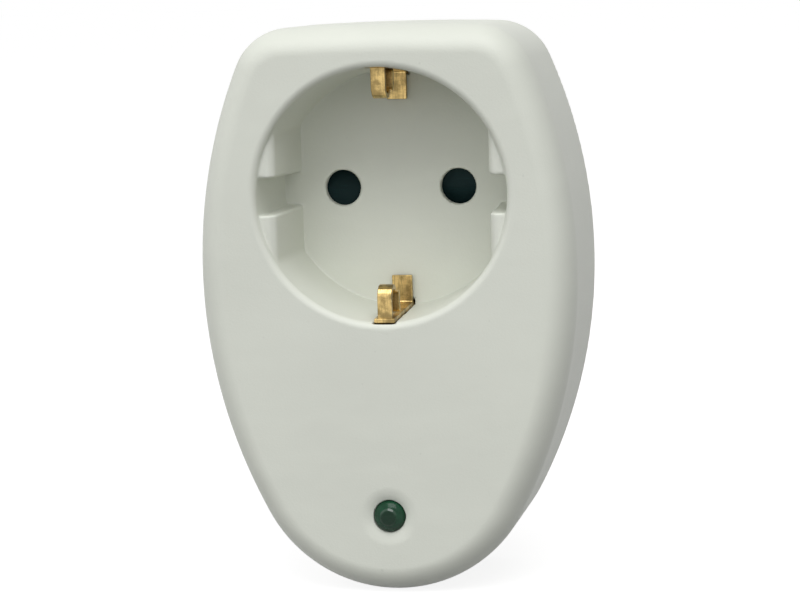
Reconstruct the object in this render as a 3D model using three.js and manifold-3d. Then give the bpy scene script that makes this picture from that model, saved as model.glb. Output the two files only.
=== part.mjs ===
// Plug-through mains adapter: an earthed socket and a lamp in front, an earthed plug behind, and
// surge-protection parts between them.
// Millimetres. Seen from the front, X runs to the right, Z up, and Y from the front to the back.
// The origin is the centre of the plug's end face, and the socket and the plug share the Y axis.

import * as THREE from "three";
import { mergeVertices } from "three/addons/utils/BufferGeometryUtils.js";
import Module from "manifold-3d";

const wasm = await Module();
wasm.setup();

// Clearance between pieces that touch, and the overrun of a cut past the face that it opens
const fitGap = 0.3;
const cutOverrun = 0.7;

// Housing outline as seen from the front, from the socket axis
const housingHalfWidth = 30.1;
const widestBelowAxis = 12.1;
const topMargin = 7.1;
const bottomBelowAxis = 63.3;
const sideArcRadius = 83;
const cornerRadius = 9.3;
const topArcRadius = 400;

// Housing walls and edges
const housingWall = 2;
const frontWall = 2.2;
const frontEdgeAcross = 4.4;
const frontEdgeDeep = 5.9;
const backEdge = 0.7;
const rebateAcross = 0.9;
const rearPlate = 2.2;
const rearLipWall = 1.2;
const rearLipHeight = 1.8;

// Socket well
const wellDepth = 17.5;
const wellFloor = 1.6;
const wellMouthRadius = 19.5;
const wellDraft = 0.3;
const wellLip = 0.9;
const wellWall = 1.6;
const guideFloorDepth = 2.9;
const guideMouthDepth = 2.4;
const guideSetback = 1.2;
const guideLeadIn = 0.9;
const guideSlotHalf = 2.7;
const guideSlotMouthHalf = 3;
const pinHoleRadius = 2.9;

// Plug behind, and the pin spacing that the socket shares with it
const pinSpacing = 19;
const pinRadius = 2.4;
const pinLength = 19;
const pinTip = 1.9;
const pinTipShare = 0.55;
const pinCollarRadius = 3;
const pinCollarLength = 1.2;
const pinStubRadius = 1.3;
const pinRivetRadius = 2;
const pinRivetLength = 0.8;
const plugReach = 17.2;
const plugRadius = 18.4;
const plugFlatFromPin = 6.4;
const plugRibHalf = 2.3;
const plugWall = 2;
const plugEndWall = 2.4;
const plugEdge = 1.2;

// Earth strips on the plug
const strapHalfWidth = 2;
const strapThickness = 0.8;
const strapSink = 2.8;
const strapSetback = 0.4;
const strapHook = 1.8;
const strapBend = 0.7;

// Earth clips in the socket well
const clipHalfWidth = 1.65;
const clipThickness = 0.8;
const clipPlateLength = 4.8;
const upperNoseHeight = 4.6;
const lowerNoseHeight = 5.1;
const clipSetback = 1.1;
const clipNoseSetback = 1.6;
const clipNoseHalfWidth = 1.15;
const clipNoseRadius = 1.75;
const clipNoseShoulder = 0.8;
const clipRearLean = 0.5;
const clipCornerCut = 0.7;
const clipBend = 0.7;
const clipProudFloor = 0.55;
const upperFootSink = 0.1;
const lowerFootSink = -0.2;
const clipSwingRoom = 2.9;
const clipNoseGap = 0.5;
const clipTailRoom = 0.5;

// Shutter with its hub, its post and its spring
const shutterThickness = 1.8;
const shutterLap = 1;
const shutterArmHalf = 2.5;
const shutterHubRadius = 2.6;
const shutterRampDeep = 1.1;
const shutterPostRadius = 1.4;
const springRoom = 2;
const springWire = 0.45;
const springRadius = 3.3;
const springPitch = 0.9;
const springTurns = 1.25;
const springLeg = 7.5;
const stopPostRadius = 1.3;
const stopPostZ = 8.2;
const springPegRadius = 0.5;
const springSides = 6;
const springSteps = 20;

// Contact carrier and the spring contacts in it
const carrierWeb = 1.1;
const carrierWebRoom = 3;
const carrierHalf = 6.2;
const pocketHalfWidth = 3.3;
const pocketHalfHeight = 4.7;
const contactHalfWidth = 2.5;
const contactThickness = 0.7;
const contactRootHalf = 3.3;
const contactGripHalf = 2.2;
const contactMouthHalf = 3.5;
const contactFlare = 3.6;
const contactBend = 0.6;
const contactTagHalf = 1.1;
const contactTagReach = 9;

// Earth bar
const earthBarHalfWidth = 2;
const earthBarThickness = 0.8;
const earthBarTopLap = 1.15;
const earthBarBottomLap = 5.35;

// Circuit board and what stands on it
const boardDepth = 8.4;
const boardThickness = 1.6;
const boardTopRoom = 2.1;
const boardFootRoom = 9.9;
const boardSideRoom = 12.1;
const boardFootShare = 0.4545;
const boardSlopeShare = 0.656;
const boardScrewInset = 3;
const boardScrewShare = 0.1424;
const boardPostRadius = 2.6;
const leadThickness = 0.6;
const leadHoleRadius = 0.75;
const varistorStand = 2;
const varistorHeadroom = 2;
const varistorCount = 3;
const capacitorHeight = 9;
const axialLift = 1;

// Sizes and places of the board's parts along X, as shares of half the board's width
const varistorXShare = 0.4445;
const smallPartsXShare = 0.4222;
const gasTubeLengthShare = 1 / 3;
const gasTubeRimShare = 0.0556;
const fuseXShare = 0.45;
const fuseLengthShare = 0.42;
const capacitorLengthShare = 2 / 3;
const resistorLengthShare = 0.389;
const diodeLengthShare = 0.2556;
const axialReachShare = 0.1222;

// Sizes and places of the board's parts down the board, as shares of its height
const varistorTopShare = 0.3245;
const varistorPitchShare = 0.1722;
const varistorThicknessShare = 0.139;
const gasTubeShare = 0.3311;
const gasTubeRadiusShare = 0.1192;
const capacitorShare = 0.5762;
const capacitorThicknessShare = 0.149;
const resistorShare = 0.7351;
const resistorRadiusShare = 0.043;
const diodeShare = 0.8609;
const diodeRadiusShare = 0.0397;
const fuseShare = 0.8344;
const fuseRadiusShare = 0.053;

// Lamp
const lampRise = 12.6;
const lampRadius = 2.5;
const lampProud = 0.8;
const lampLength = 7.4;
const lampFlangeRadius = 2.95;
const lampFlange = 1;
const lampDishRadius = 3.8;
const lampDishDepth = 0.6;
const lampLeadSpacing = 2.54;

// Screws
const screwShankRadius = 1.5;
const screwHeadRadius = 2.8;
const screwHeadHeight = 1.5;
const screwLength = 12;
const screwBossWall = 1.4;
const screwRecess = 0.4;
const screwPadRadius = 3.4;
const screwPadHeight = 2;
const upperScrewInset = 7.2;
const upperScrewDrop = 6.8;
const lowerScrewRise = 6.1;
const driveSlot = 0.8;
const boardShankRadius = 1;
const boardHeadRadius = 1.9;
const boardHeadHeight = 1.2;
const boardScrewLength = 5;

// Wires
const wireRadius = 0.85;
const wireRun = 3.6;
const wireSides = 8;
const wireSteps = 32;
const wireEndShare = 0.5333;
const wireRowShare = 0.1258;
const wireGateX = 6.6;
const wireGateRoom = 2.18;

// Steps of the round stretches
const ringSteps = 72;
const smallRingSteps = 20;
const arcSteps = 5;
const bottomArcSteps = 9;
const sideArcSteps = 14;
const cornerSteps = 5;
const topArcSteps = 3;

// Places along Y, from the plug's end face forwards and from the front face backwards
const housingDepth =
  wellDepth + wellFloor + fitGap + shutterThickness + springRoom + fitGap + carrierWeb +
  fitGap + earthBarThickness + fitGap + rearPlate;
const housingBackY = -plugReach;
const frontY = housingBackY - housingDepth;
const wellFloorY = frontY + wellDepth;
const floorBackY = wellFloorY + wellFloor;
const shutterY = floorBackY + fitGap;
const shutterBackY = shutterY + shutterThickness;
const hubBackY = shutterBackY + springRoom;
const webY = hubBackY + fitGap;
const webBackY = webY + carrierWeb;
const earthBarY = webBackY + fitGap;
const earthBarBackY = earthBarY + earthBarThickness;
const plateY = housingBackY - rearPlate;
const plugInnerY = -plugEndWall;
const collarY = plugInnerY - fitGap - pinCollarLength;
const contactBaseY = collarY - fitGap - contactThickness;
const boardY = frontY + boardDepth;
const boardBackY = boardY + boardThickness;
const pinX = pinSpacing / 2;
const plugFlatHalf = pinX + plugFlatFromPin;
const plugCoreRadius = plugRadius - plugWall;
const strapOuter = plugRadius - strapSink;
const wireGateZ = Math.sqrt((plugCoreRadius - wireGateRoom) ** 2 - wireGateX ** 2);
const carrierWebHalf = wireGateZ - carrierWebRoom;
const wellCupRadius = wellMouthRadius + wellWall;
const wellFloorRadius = wellMouthRadius - wellDraft;
const lampBackY = frontY - lampProud + lampLength;

// The housing's top clears the well, and its bottom arc runs into the side arcs
const topAboveAxis = wellMouthRadius + topMargin;
const bottomDrop = bottomBelowAxis - widestBelowAxis;
const bottomArcRadius =
  (2 * sideArcRadius * housingHalfWidth - housingHalfWidth ** 2 - bottomDrop ** 2) /
  (2 * (sideArcRadius - bottomDrop));

// Places that follow the housing's outline
const upperScrewZ = topAboveAxis - upperScrewDrop;
const upperScrewX =
  housingHalfWidth - sideArcRadius - upperScrewInset +
  Math.sqrt(sideArcRadius ** 2 - (upperScrewZ + widestBelowAxis) ** 2);
const lowerScrewBelow = bottomBelowAxis - lowerScrewRise;
const lampBelowAxis = bottomBelowAxis - lampRise;

// The board fills the room between the well's cup, the side walls and the lower screw
const boardTop = wellCupRadius + boardTopRoom;
const boardBottom = bottomBelowAxis - boardFootRoom;
const boardHeight = boardBottom - boardTop;
const boardHalfWidth = housingHalfWidth - boardSideRoom;
const boardFootHalfWidth = bottomArcRadius * boardFootShare;
const boardSlopeTop = boardTop + boardHeight * boardSlopeShare;
const boardScrewX = boardHalfWidth - boardScrewInset;
const boardScrewZ = boardTop + boardHeight * boardScrewShare;
const varistorRadius = (plateY - boardBackY - varistorStand - varistorHeadroom) / 2;
const varistorThickness = boardHeight * varistorThicknessShare;
const wireEndX = boardHalfWidth * wireEndShare;
const wireEndZ = boardTop + boardHeight * wireRowShare;

// Flats of the guide blocks, at the floor and at the mouth
const guideFloorHalf = wellFloorRadius - guideFloorDepth;
const guideMouthHalf = wellMouthRadius - guideMouthDepth;

// Earth clips: inner faces at the mouth, the window behind them, and the strip's middle line
const upperFootReach = wellMouthRadius + upperFootSink;
const lowerFootReach = wellMouthRadius + lowerFootSink;
const upperNoseReach = upperFootReach - upperNoseHeight;
const lowerNoseReach = lowerFootReach - lowerNoseHeight;
const clipWindowReach = upperFootReach + clipSwingRoom;
const clipFootFloor = wellFloorRadius - clipProudFloor + clipThickness / 2;
const clipPlateReach = clipFootFloor - clipPlateLength;
const clipRootY = wellFloorY - fitGap - clipThickness / 2;
const clipFrontY = frontY + clipSetback;
const clipLegY = frontY + clipNoseSetback + clipThickness / 2;
const earthBarTop = clipFootFloor + earthBarTopLap;
const earthBarBottom = clipFootFloor + earthBarBottomLap;

// Solids: a closed geometry becomes a manifold-3d solid, and a solid becomes a geometry again

function toSolid(geometry) {
  const bare = new THREE.BufferGeometry();
  bare.setAttribute("position", geometry.getAttribute("position").clone());
  if (geometry.index) bare.setIndex(geometry.index.clone());
  const merged = mergeVertices(bare, fitGap / 1000);
  const corners = [];
  const index = merged.index.array;
  for (let i = 0; i < index.length; i += 3) {
    const [a, b, c] = index.slice(i, i + 3);
    if (a !== b && b !== c && c !== a) corners.push(a, b, c);
  }
  const vertProperties = new Float32Array(merged.getAttribute("position").array);
  return new wasm.Manifold(
    new wasm.Mesh({ numProp: 3, vertProperties, triVerts: new Uint32Array(corners) }),
  );
}

function toGeometry(solid) {
  const mesh = solid.getMesh();
  const geometry = new THREE.BufferGeometry();
  geometry.setAttribute("position", new THREE.BufferAttribute(mesh.vertProperties, 3));
  geometry.setIndex(new THREE.BufferAttribute(mesh.triVerts, 1));
  geometry.computeVertexNormals();
  return geometry;
}

function join(first, ...others) {
  return others.reduce((whole, piece) => whole.add(toSolid(piece)), toSolid(first));
}

function cut(solid, ...tools) {
  return tools.reduce((whole, tool) => whole.subtract(toSolid(tool)), solid);
}

// A box by its limits
function block([x0, x1], [y0, y1], [z0, z1]) {
  const box = new THREE.BoxGeometry(x1 - x0, y1 - y0, z1 - z0);
  return box.translate((x0 + x1) / 2, (y0 + y1) / 2, (z0 + z1) / 2);
}

// A round bar along Y, centred on x and z
function rod(radius, y0, y1, x = 0, z = 0, steps = smallRingSteps) {
  const bar = new THREE.CylinderGeometry(radius, radius, y1 - y0, steps);
  return bar.translate(x, (y0 + y1) / 2, z);
}

// A turned solid round the Y axis, from [radius, y] points that run from low y to high y
function turned(profile, steps = ringSteps) {
  return new THREE.LatheGeometry(profile.map(([r, y]) => new THREE.Vector2(r, y)), steps);
}

// A shape of (x, z) points, extruded from y0 to y1
function alongY(shape, y0, y1) {
  const geometry = new THREE.ExtrudeGeometry(shape, { depth: y1 - y0, bevelEnabled: false });
  return geometry.rotateX(Math.PI / 2).translate(0, y1, 0);
}

// A shape of (y, z) points, extruded along X, half its width to each side
function alongX(shape, halfWidth) {
  const geometry = new THREE.ExtrudeGeometry(shape, { depth: 2 * halfWidth, bevelEnabled: false });
  const turn = new THREE.Matrix4().makeBasis(
    new THREE.Vector3(0, 1, 0), new THREE.Vector3(0, 0, 1), new THREE.Vector3(1, 0, 0),
  );
  return geometry.applyMatrix4(turn).translate(-halfWidth, 0, 0);
}

function arcPoints(centre, radius, from, to, steps) {
  return Array.from({ length: steps }, (_, i) => {
    const angle = from + ((to - from) * i) / steps;
    return new THREE.Vector2(
      centre.x + radius * Math.cos(angle),
      centre.y + radius * Math.sin(angle),
    );
  });
}

// The housing's outline in (x, z), at an inset from its wall, as tangent arcs
function housingOutline(inset) {
  const side = new THREE.Vector2(housingHalfWidth - sideArcRadius, -widestBelowAxis);
  const drop = Math.sqrt((sideArcRadius - bottomArcRadius) ** 2 - side.x ** 2);
  const bottom = new THREE.Vector2(0, side.y - drop);
  const top = new THREE.Vector2(0, topAboveAxis - topArcRadius);
  // The corner's centre lies where circles round the side's and the top's centres meet
  const sideReach = sideArcRadius - cornerRadius;
  const topReach = topArcRadius - cornerRadius;
  const apart = side.distanceTo(top);
  const along = (sideReach ** 2 - topReach ** 2 + apart ** 2) / (2 * apart);
  const across = Math.sqrt(sideReach ** 2 - along ** 2);
  const direction = top.clone().sub(side).divideScalar(apart);
  const corner = new THREE.Vector2(
    side.x + direction.x * along - direction.y * across,
    side.y + direction.y * along + direction.x * across,
  );
  const sideStart = bottom.clone().sub(side).angle() - 2 * Math.PI;
  const sideEnd = corner.clone().sub(side).angle();
  const cornerEnd = corner.clone().sub(top).angle();
  const right = [
    ...arcPoints(bottom, bottomArcRadius - inset, -Math.PI / 2, sideStart, bottomArcSteps),
    ...arcPoints(side, sideArcRadius - inset, sideStart, sideEnd, sideArcSteps),
    ...arcPoints(corner, cornerRadius - inset, sideEnd, cornerEnd, cornerSteps),
    ...arcPoints(top, topArcRadius - inset, cornerEnd, Math.PI / 2, topArcSteps),
    new THREE.Vector2(0, topAboveAxis - inset),
  ];
  const left = right.slice(1, -1).reverse();
  return [...right, ...left.map((point) => new THREE.Vector2(-point.x, point.y))];
}

// A closed skin through outlines of [inset, y] from front to back
function housingLoft(stations) {
  const rings = stations.map(([inset]) => housingOutline(inset));
  const count = rings[0].length;
  const positions = rings.flatMap((ring, k) => ring.flatMap((p) => [p.x, stations[k][1], p.y]));
  const index = [];
  for (let k = 0; k < rings.length - 1; k++) {
    for (let j = 0; j < count; j++) {
      const a = k * count + j;
      const b = k * count + ((j + 1) % count);
      index.push(a, b + count, b, a, a + count, b + count);
    }
  }
  const last = (rings.length - 1) * count;
  for (const [a, b, c] of THREE.ShapeUtils.triangulateShape(rings[0], [])) {
    index.push(a, b, c);
    index.push(last + a, last + c, last + b);
  }
  const geometry = new THREE.BufferGeometry();
  geometry.setAttribute("position", new THREE.Float32BufferAttribute(positions, 3));
  geometry.setIndex(index);
  return geometry;
}

// Corners of a path, with each inner corner rounded by its own radius
function roundedPath(corners, radii) {
  const path = [corners[0]];
  for (let i = 1; i < corners.length - 1; i++) {
    const here = corners[i];
    const radius = radii[i - 1];
    const back = corners[i - 1].clone().sub(here).normalize();
    const on = corners[i + 1].clone().sub(here).normalize();
    const half = back.angleTo(on) / 2;
    const reach = radius / Math.tan(half);
    const start = here.clone().addScaledVector(back, reach);
    const end = here.clone().addScaledVector(on, reach);
    const toCentre = back.clone().add(on).normalize();
    const centre = here.clone().addScaledVector(toCentre, radius / Math.sin(half));
    const from = start.clone().sub(centre).angle();
    let sweep = end.clone().sub(centre).angle() - from;
    if (sweep > Math.PI) sweep -= 2 * Math.PI;
    if (sweep < -Math.PI) sweep += 2 * Math.PI;
    path.push(...arcPoints(centre, radius, from, from + sweep, arcSteps), end);
  }
  path.push(corners.at(-1));
  return path.filter((p, i) => i === 0 || p.distanceTo(path[i - 1]) > fitGap / 100);
}

// The outline of a bent strip of even thickness along a path of its middle line
function stripShape(path, thickness) {
  const normals = path.map((point, i) => {
    const before = path[Math.max(i - 1, 0)];
    const after = path[Math.min(i + 1, path.length - 1)];
    const run = after.clone().sub(before).normalize();
    return new THREE.Vector2(-run.y, run.x);
  });
  const side = (sign) =>
    path.map((p, i) => p.clone().addScaledVector(normals[i], (sign * thickness) / 2));
  const outline = [...side(1), ...side(-1).reverse()];
  return new THREE.Shape(THREE.ShapeUtils.isClockWise(outline) ? outline.reverse() : outline);
}

function bentStrip(points, radii, thickness) {
  const corners = points.map(([u, v]) => new THREE.Vector2(u, v));
  return stripShape(roundedPath(corners, radii), thickness);
}

// Materials
function plastic(color, roughness = 0.5) {
  return new THREE.MeshStandardMaterial({ color, roughness, metalness: 0 });
}
function metal(color, roughness = 0.3) {
  return new THREE.MeshStandardMaterial({ color, roughness, metalness: 1 });
}
const whitePlastic = plastic(0xd9dcd0, 0.5);
const tealPlastic = plastic(0x1b3436, 0.45);
const greenLens = plastic(0x0f3a22, 0.15);
const carrierPlastic = plastic(0xe6dfc8, 0.55);
const boardLaminate = plastic(0x9c8a4e, 0.6);
const varistorCoat = plastic(0x2c5aa0, 0.45);
const ceramic = plastic(0xd9d5cc, 0.35);
const blackPlastic = plastic(0x222222, 0.5);
const capacitorPlastic = plastic(0xc9a227, 0.45);
const resistorCoat = plastic(0xc8b389, 0.45);
const brass = metal(0xc9a14a, 0.28);
const nickel = metal(0xb9b6ac, 0.25);
const springSteel = metal(0x9a9a98, 0.3);
const zincSteel = metal(0xa9abab, 0.35);

const root = new THREE.Group();

function addMesh(name, geometry, material, parent = root) {
  const mesh = new THREE.Mesh(geometry, material);
  mesh.name = name;
  parent.add(mesh);
  return mesh;
}

const screwPlaces = [
  [-upperScrewX, upperScrewZ],
  [upperScrewX, upperScrewZ],
  [0, -lowerScrewBelow],
];

// Front cover: shell, well, guide blocks, bosses, posts and all openings
function frontCover() {
  const edge = Array.from({ length: arcSteps + 1 }, (_, i) => {
    const lean = ((Math.PI / 2) * i) / arcSteps;
    return [
      frontEdgeAcross * (1 - Math.sin(lean)),
      frontY + frontEdgeDeep * (1 - Math.cos(lean)),
    ];
  });
  const outer = housingLoft([...edge, [0, housingBackY - backEdge], [backEdge, housingBackY]]);
  const inner = housingLoft([
    [frontEdgeAcross + housingWall / 2, frontY + frontWall],
    [housingWall + frontEdgeAcross / 4, frontY + frontWall + frontEdgeDeep / 4],
    [housingWall, frontY + frontWall + frontEdgeDeep],
    [housingWall, housingBackY + cutOverrun],
  ]);
  const rebate = housingLoft([
    [housingWall - rebateAcross, plateY - fitGap],
    [housingWall - rebateAcross, housingBackY + cutOverrun],
  ]);
  let cover = cut(toSolid(outer), inner, rebate);

  const bossRadius = screwShankRadius + fitGap + screwBossWall;
  const bossBackY = plateY - screwPadHeight - fitGap;
  const rootY = frontY + frontWall / 2;
  cover = cover.add(toSolid(rod(wellCupRadius, rootY, floorBackY, 0, 0, ringSteps)));
  for (const [x, z] of screwPlaces) {
    cover = cover.add(toSolid(rod(bossRadius, rootY, bossBackY, x, z)));
  }
  for (const side of [-1, 1]) {
    const post = rod(boardPostRadius, rootY, boardY - fitGap, side * boardScrewX, -boardScrewZ);
    cover = cover.add(toSolid(post));
  }

  // The well: its flared mouth, its tapered wall and its flat floor
  const lip = Array.from({ length: arcSteps + 1 }, (_, i) => {
    const lean = ((Math.PI / 2) * i) / arcSteps;
    return [
      wellMouthRadius + wellLip * (1 - Math.sin(lean)),
      frontY + wellLip * (1 - Math.cos(lean)),
    ];
  });
  const mouthRadius = wellMouthRadius + wellLip;
  cover = cut(
    cover,
    turned([
      [0, frontY - cutOverrun],
      [mouthRadius, frontY - cutOverrun],
      ...lip,
      [wellFloorRadius, wellFloorY],
      [0, wellFloorY],
    ]),
  );

  // Guide blocks: tapered flats left and right of the floor, parted by a slot
  const guide = new THREE.Shape([
    new THREE.Vector2(guideFloorHalf, wellFloorY + wellFloor / 2),
    new THREE.Vector2(wellCupRadius, wellFloorY + wellFloor / 2),
    new THREE.Vector2(wellCupRadius, frontY + guideSetback),
    new THREE.Vector2(guideMouthHalf + guideLeadIn, frontY + guideSetback),
    new THREE.Vector2(guideMouthHalf, frontY + guideSetback + guideLeadIn),
    new THREE.Vector2(guideFloorHalf, wellFloorY),
  ]);
  const guideBar = new THREE.ExtrudeGeometry(guide, {
    depth: 2 * wellCupRadius,
    bevelEnabled: false,
  }).translate(0, 0, -wellCupRadius);
  const cupCore = toSolid(
    rod(wellMouthRadius + wellWall / 2, frontY, floorBackY, 0, 0, ringSteps),
  );
  const slot = alongX(
    new THREE.Shape([
      new THREE.Vector2(frontY, -guideSlotMouthHalf),
      new THREE.Vector2(wellFloorY, -guideSlotHalf),
      new THREE.Vector2(wellFloorY, guideSlotHalf),
      new THREE.Vector2(frontY, guideSlotMouthHalf),
    ]),
    wellCupRadius + cutOverrun,
  );
  const rightGuides = cut(toSolid(guideBar), slot).intersect(cupCore);
  const leftGuides = toSolid(toGeometry(rightGuides).rotateY(Math.PI));
  cover = cover.add(rightGuides).add(leftGuides);

  // The post that the shutter turns on and the two posts that seat the carrier
  cover = cover.add(toSolid(rod(shutterPostRadius, floorBackY - wellFloor / 2, hubBackY)));
  for (const [x, z] of stopPosts()) {
    cover = cover.add(toSolid(rod(stopPostRadius, floorBackY - wellFloor / 2, hubBackY, x, z)));
  }

  // Openings: pin holes, windows and slots for the earth clips, lamp hole with its dish, screw pilots
  const openings = [];
  for (const side of [-1, 1]) {
    const width = [-clipHalfWidth - fitGap, clipHalfWidth + fitGap];
    const slotInner = clipFootFloor - clipThickness / 2 - clipTailRoom;
    openings.push(
      rod(pinHoleRadius, wellFloorY - cutOverrun, floorBackY + cutOverrun, side * pinX),
      block(width, [clipFrontY - fitGap, wellFloorY], span(side, slotInner, clipWindowReach)),
      block(
        width, [wellFloorY - cutOverrun, floorBackY + cutOverrun],
        span(side, slotInner, clipWindowReach),
      ),
      rod(
        boardShankRadius + fitGap, frontY + frontWall, boardY, side * boardScrewX, -boardScrewZ,
      ),
    );
  }
  for (const [x, z] of screwPlaces) {
    openings.push(rod(screwShankRadius + fitGap, frontY + frontWall, bossBackY + cutOverrun, x, z));
  }
  openings.push(
    rod(
      lampRadius + fitGap, frontY - cutOverrun, frontY + frontWall + cutOverrun,
      0, -lampBelowAxis, 2 * smallRingSteps,
    ),
    lampDish(),
  );
  return toGeometry(cut(cover, ...openings));
}

// A stretch of Z on one side of the axis, with its ends in rising order
function span(side, near, far) {
  return side > 0 ? [near, far] : [-far, -near];
}

// A shallow round dish in the front face, with the lamp in its middle
function lampDish() {
  const ballRadius = (lampDishRadius ** 2 + lampDishDepth ** 2) / (2 * lampDishDepth);
  const reach = Math.asin(lampDishRadius / ballRadius);
  const profile = Array.from({ length: arcSteps + 1 }, (_, i) => {
    const lean = reach * (1 - i / arcSteps);
    return [
      ballRadius * Math.sin(lean),
      frontY + lampDishDepth - ballRadius * (1 - Math.cos(lean)),
    ];
  });
  const cap = [[0, frontY - cutOverrun], [lampDishRadius, frontY - cutOverrun]];
  return turned([...cap, ...profile], 2 * smallRingSteps).translate(0, 0, -lampBelowAxis);
}

// Stop posts: the spring's fixed leg leans on the upper one
function stopPosts() {
  const x = springRadius - springWire / 2 - fitGap - stopPostRadius;
  return [[x, stopPostZ], [-x, -stopPostZ]];
}

// Rear cover: plate with a locating lip and screw pads, and the hollow plug body
function rearCover() {
  const plateInset = housingWall - rebateAcross + fitGap;
  const plate = housingLoft([[plateInset, plateY], [plateInset, housingBackY]]);
  const lipInset = housingWall + fitGap;
  const lipY = plateY - rearLipHeight;
  const lip = cut(
    toSolid(housingLoft([[lipInset, lipY], [lipInset, plateY + rearPlate / 2]])),
    housingLoft([
      [lipInset + rearLipWall, lipY - cutOverrun],
      [lipInset + rearLipWall, plateY + rearPlate / 2],
    ]),
  );
  let cover = toSolid(plate).add(lip);

  // The plug body, hollow behind its flats, its ribs and its strap grooves
  const rounded = Array.from({ length: arcSteps + 1 }, (_, i) => {
    const lean = ((Math.PI / 2) * i) / arcSteps;
    return [
      plugRadius - plugEdge * (1 - Math.cos(lean)),
      -plugEdge * (1 - Math.sin(lean)),
    ];
  });
  const body = turned([[0, plateY], [plugRadius, plateY], ...rounded, [0, 0]]);
  const core = turned([
    [0, plateY - cutOverrun],
    [plugCoreRadius, plateY - cutOverrun],
    [plugCoreRadius, plugInnerY],
    [0, plugInnerY],
  ]);
  const grooveFloor = strapOuter - strapThickness - fitGap;
  const grooveHalf = strapHalfWidth + fitGap;
  const far = plugRadius + cutOverrun;
  const bodyCuts = [];
  const coreCuts = [];
  for (const side of [-1, 1]) {
    for (const level of [-1, 1]) {
      bodyCuts.push(
        block(
          span(side, plugFlatHalf, far), [housingBackY, cutOverrun], span(level, plugRibHalf, far),
        ),
      );
    }
    coreCuts.push(
      block(
        span(side, plugFlatHalf - plugWall, far),
        [plateY - far, plugInnerY + cutOverrun],
        [-far, far],
      ),
      block(
        [-grooveHalf - plugWall, grooveHalf + plugWall],
        [plateY - far, plugInnerY + cutOverrun],
        span(side, grooveFloor - plugWall, far),
      ),
    );
    bodyCuts.push(
      block([-grooveHalf, grooveHalf], [housingBackY, cutOverrun], span(side, grooveFloor, far)),
      block(
        [-grooveHalf, grooveHalf],
        [-strapSetback - strapThickness - fitGap, cutOverrun],
        span(side, grooveFloor - strapHook - fitGap, far),
      ),
      block(
        [-grooveHalf, grooveHalf],
        [plateY - cutOverrun, housingBackY + cutOverrun],
        span(side, grooveFloor, strapOuter + fitGap),
      ),
    );
  }
  for (const [x, z] of screwPlaces) {
    const pad = rod(screwPadRadius, plateY - screwPadHeight, plateY + rearPlate / 2, x, z);
    cover = cover.add(toSolid(pad));
  }
  const hollow = cut(toSolid(core), ...coreCuts);
  cover = cut(cover.add(toSolid(body)), ...bodyCuts).subtract(hollow);

  const openings = [];
  for (const side of [-1, 1]) {
    openings.push(rod(pinRadius + fitGap, plugInnerY - cutOverrun, cutOverrun, side * pinX));
  }
  for (const [x, z] of screwPlaces) {
    const seatY = housingBackY - screwRecess - screwHeadHeight - fitGap;
    openings.push(
      rod(screwHeadRadius + fitGap, seatY, housingBackY + cutOverrun, x, z),
      rod(screwShankRadius + fitGap, plateY - screwPadHeight - cutOverrun, seatY + cutOverrun, x, z),
    );
  }
  return toGeometry(cut(cover, ...openings));
}

// Plug pin: rounded tip, shank, collar behind the end wall, stub and rivet head
function plugPin() {
  const tip = Array.from({ length: arcSteps }, (_, i) => {
    const lean = ((Math.PI / 2) * (i + 1)) / (arcSteps + 1);
    return [
      pinRadius * (1 - pinTipShare * (1 - Math.cos(lean))),
      pinLength - pinTip * (1 - Math.sin(lean)),
    ];
  });
  const rivetY = contactBaseY - fitGap - pinRivetLength;
  return turned(
    [
      [0, rivetY],
      [pinRivetRadius, rivetY],
      [pinRivetRadius, rivetY + pinRivetLength],
      [pinStubRadius, rivetY + pinRivetLength],
      [pinStubRadius, collarY],
      [pinCollarRadius, collarY],
      [pinCollarRadius, plugInnerY - fitGap],
      [pinRadius, plugInnerY - fitGap],
      [pinRadius, pinLength - pinTip],
      ...tip,
      [0, pinLength],
    ],
    smallRingSteps,
  );
}

// Earth clip of the upper side: floor plate, foot, sprung nose, and a tail to the earth bar
function earthClip(noseReach, footReach) {
  const half = clipThickness / 2;
  const clipFootMouth = footReach + half;
  const noseTop = noseReach + half;
  const rearLegY = clipLegY + 2 * clipNoseRadius;
  const footPath = [
    [clipRootY, clipPlateReach],
    [clipRootY, clipFootFloor],
    [clipFrontY, clipFootMouth],
  ];
  const nosePath = [
    [clipLegY, clipFootMouth],
    [clipLegY, noseTop],
    [rearLegY, noseTop],
    [rearLegY + clipRearLean, clipFootMouth - clipThickness - clipNoseGap],
  ];
  const foot = alongX(bentStrip(footPath, [clipBend], clipThickness), clipHalfWidth);
  const tail = block(
    [-clipHalfWidth, clipHalfWidth],
    [clipRootY, earthBarY - fitGap],
    [clipFootFloor - half, clipFootFloor + half],
  );
  const cornerCut = new THREE.Shape([
    new THREE.Vector2(-clipHalfWidth - cutOverrun, clipFrontY - cutOverrun),
    new THREE.Vector2(clipCornerCut + cutOverrun - clipHalfWidth, clipFrontY - cutOverrun),
    new THREE.Vector2(-clipHalfWidth - cutOverrun, clipFrontY + clipCornerCut + cutOverrun),
  ]);
  const corner = new THREE.ExtrudeGeometry(cornerCut, {
    depth: 2 * clipThickness,
    bevelEnabled: false,
  });

  // The nose is narrow in front and round its top, and wide down its rear leg
  const nose = alongX(
    bentStrip(nosePath, [clipNoseRadius, clipNoseRadius], clipThickness), clipHalfWidth,
  );
  const besideNose = [-1, 1].flatMap((side) => {
    const width = span(side, clipNoseHalfWidth, clipHalfWidth + cutOverrun);
    return [
      block(width, [frontY, clipLegY + clipNoseRadius], [0, clipFootMouth + half]),
      block(width, [clipLegY, rearLegY + clipThickness], [0, noseTop + clipNoseShoulder]),
    ];
  });
  const base = cut(join(foot, tail), corner.translate(0, 0, clipFootMouth - clipThickness));
  return toGeometry(base.add(cut(toSolid(nose), ...besideNose)));
}

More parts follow.
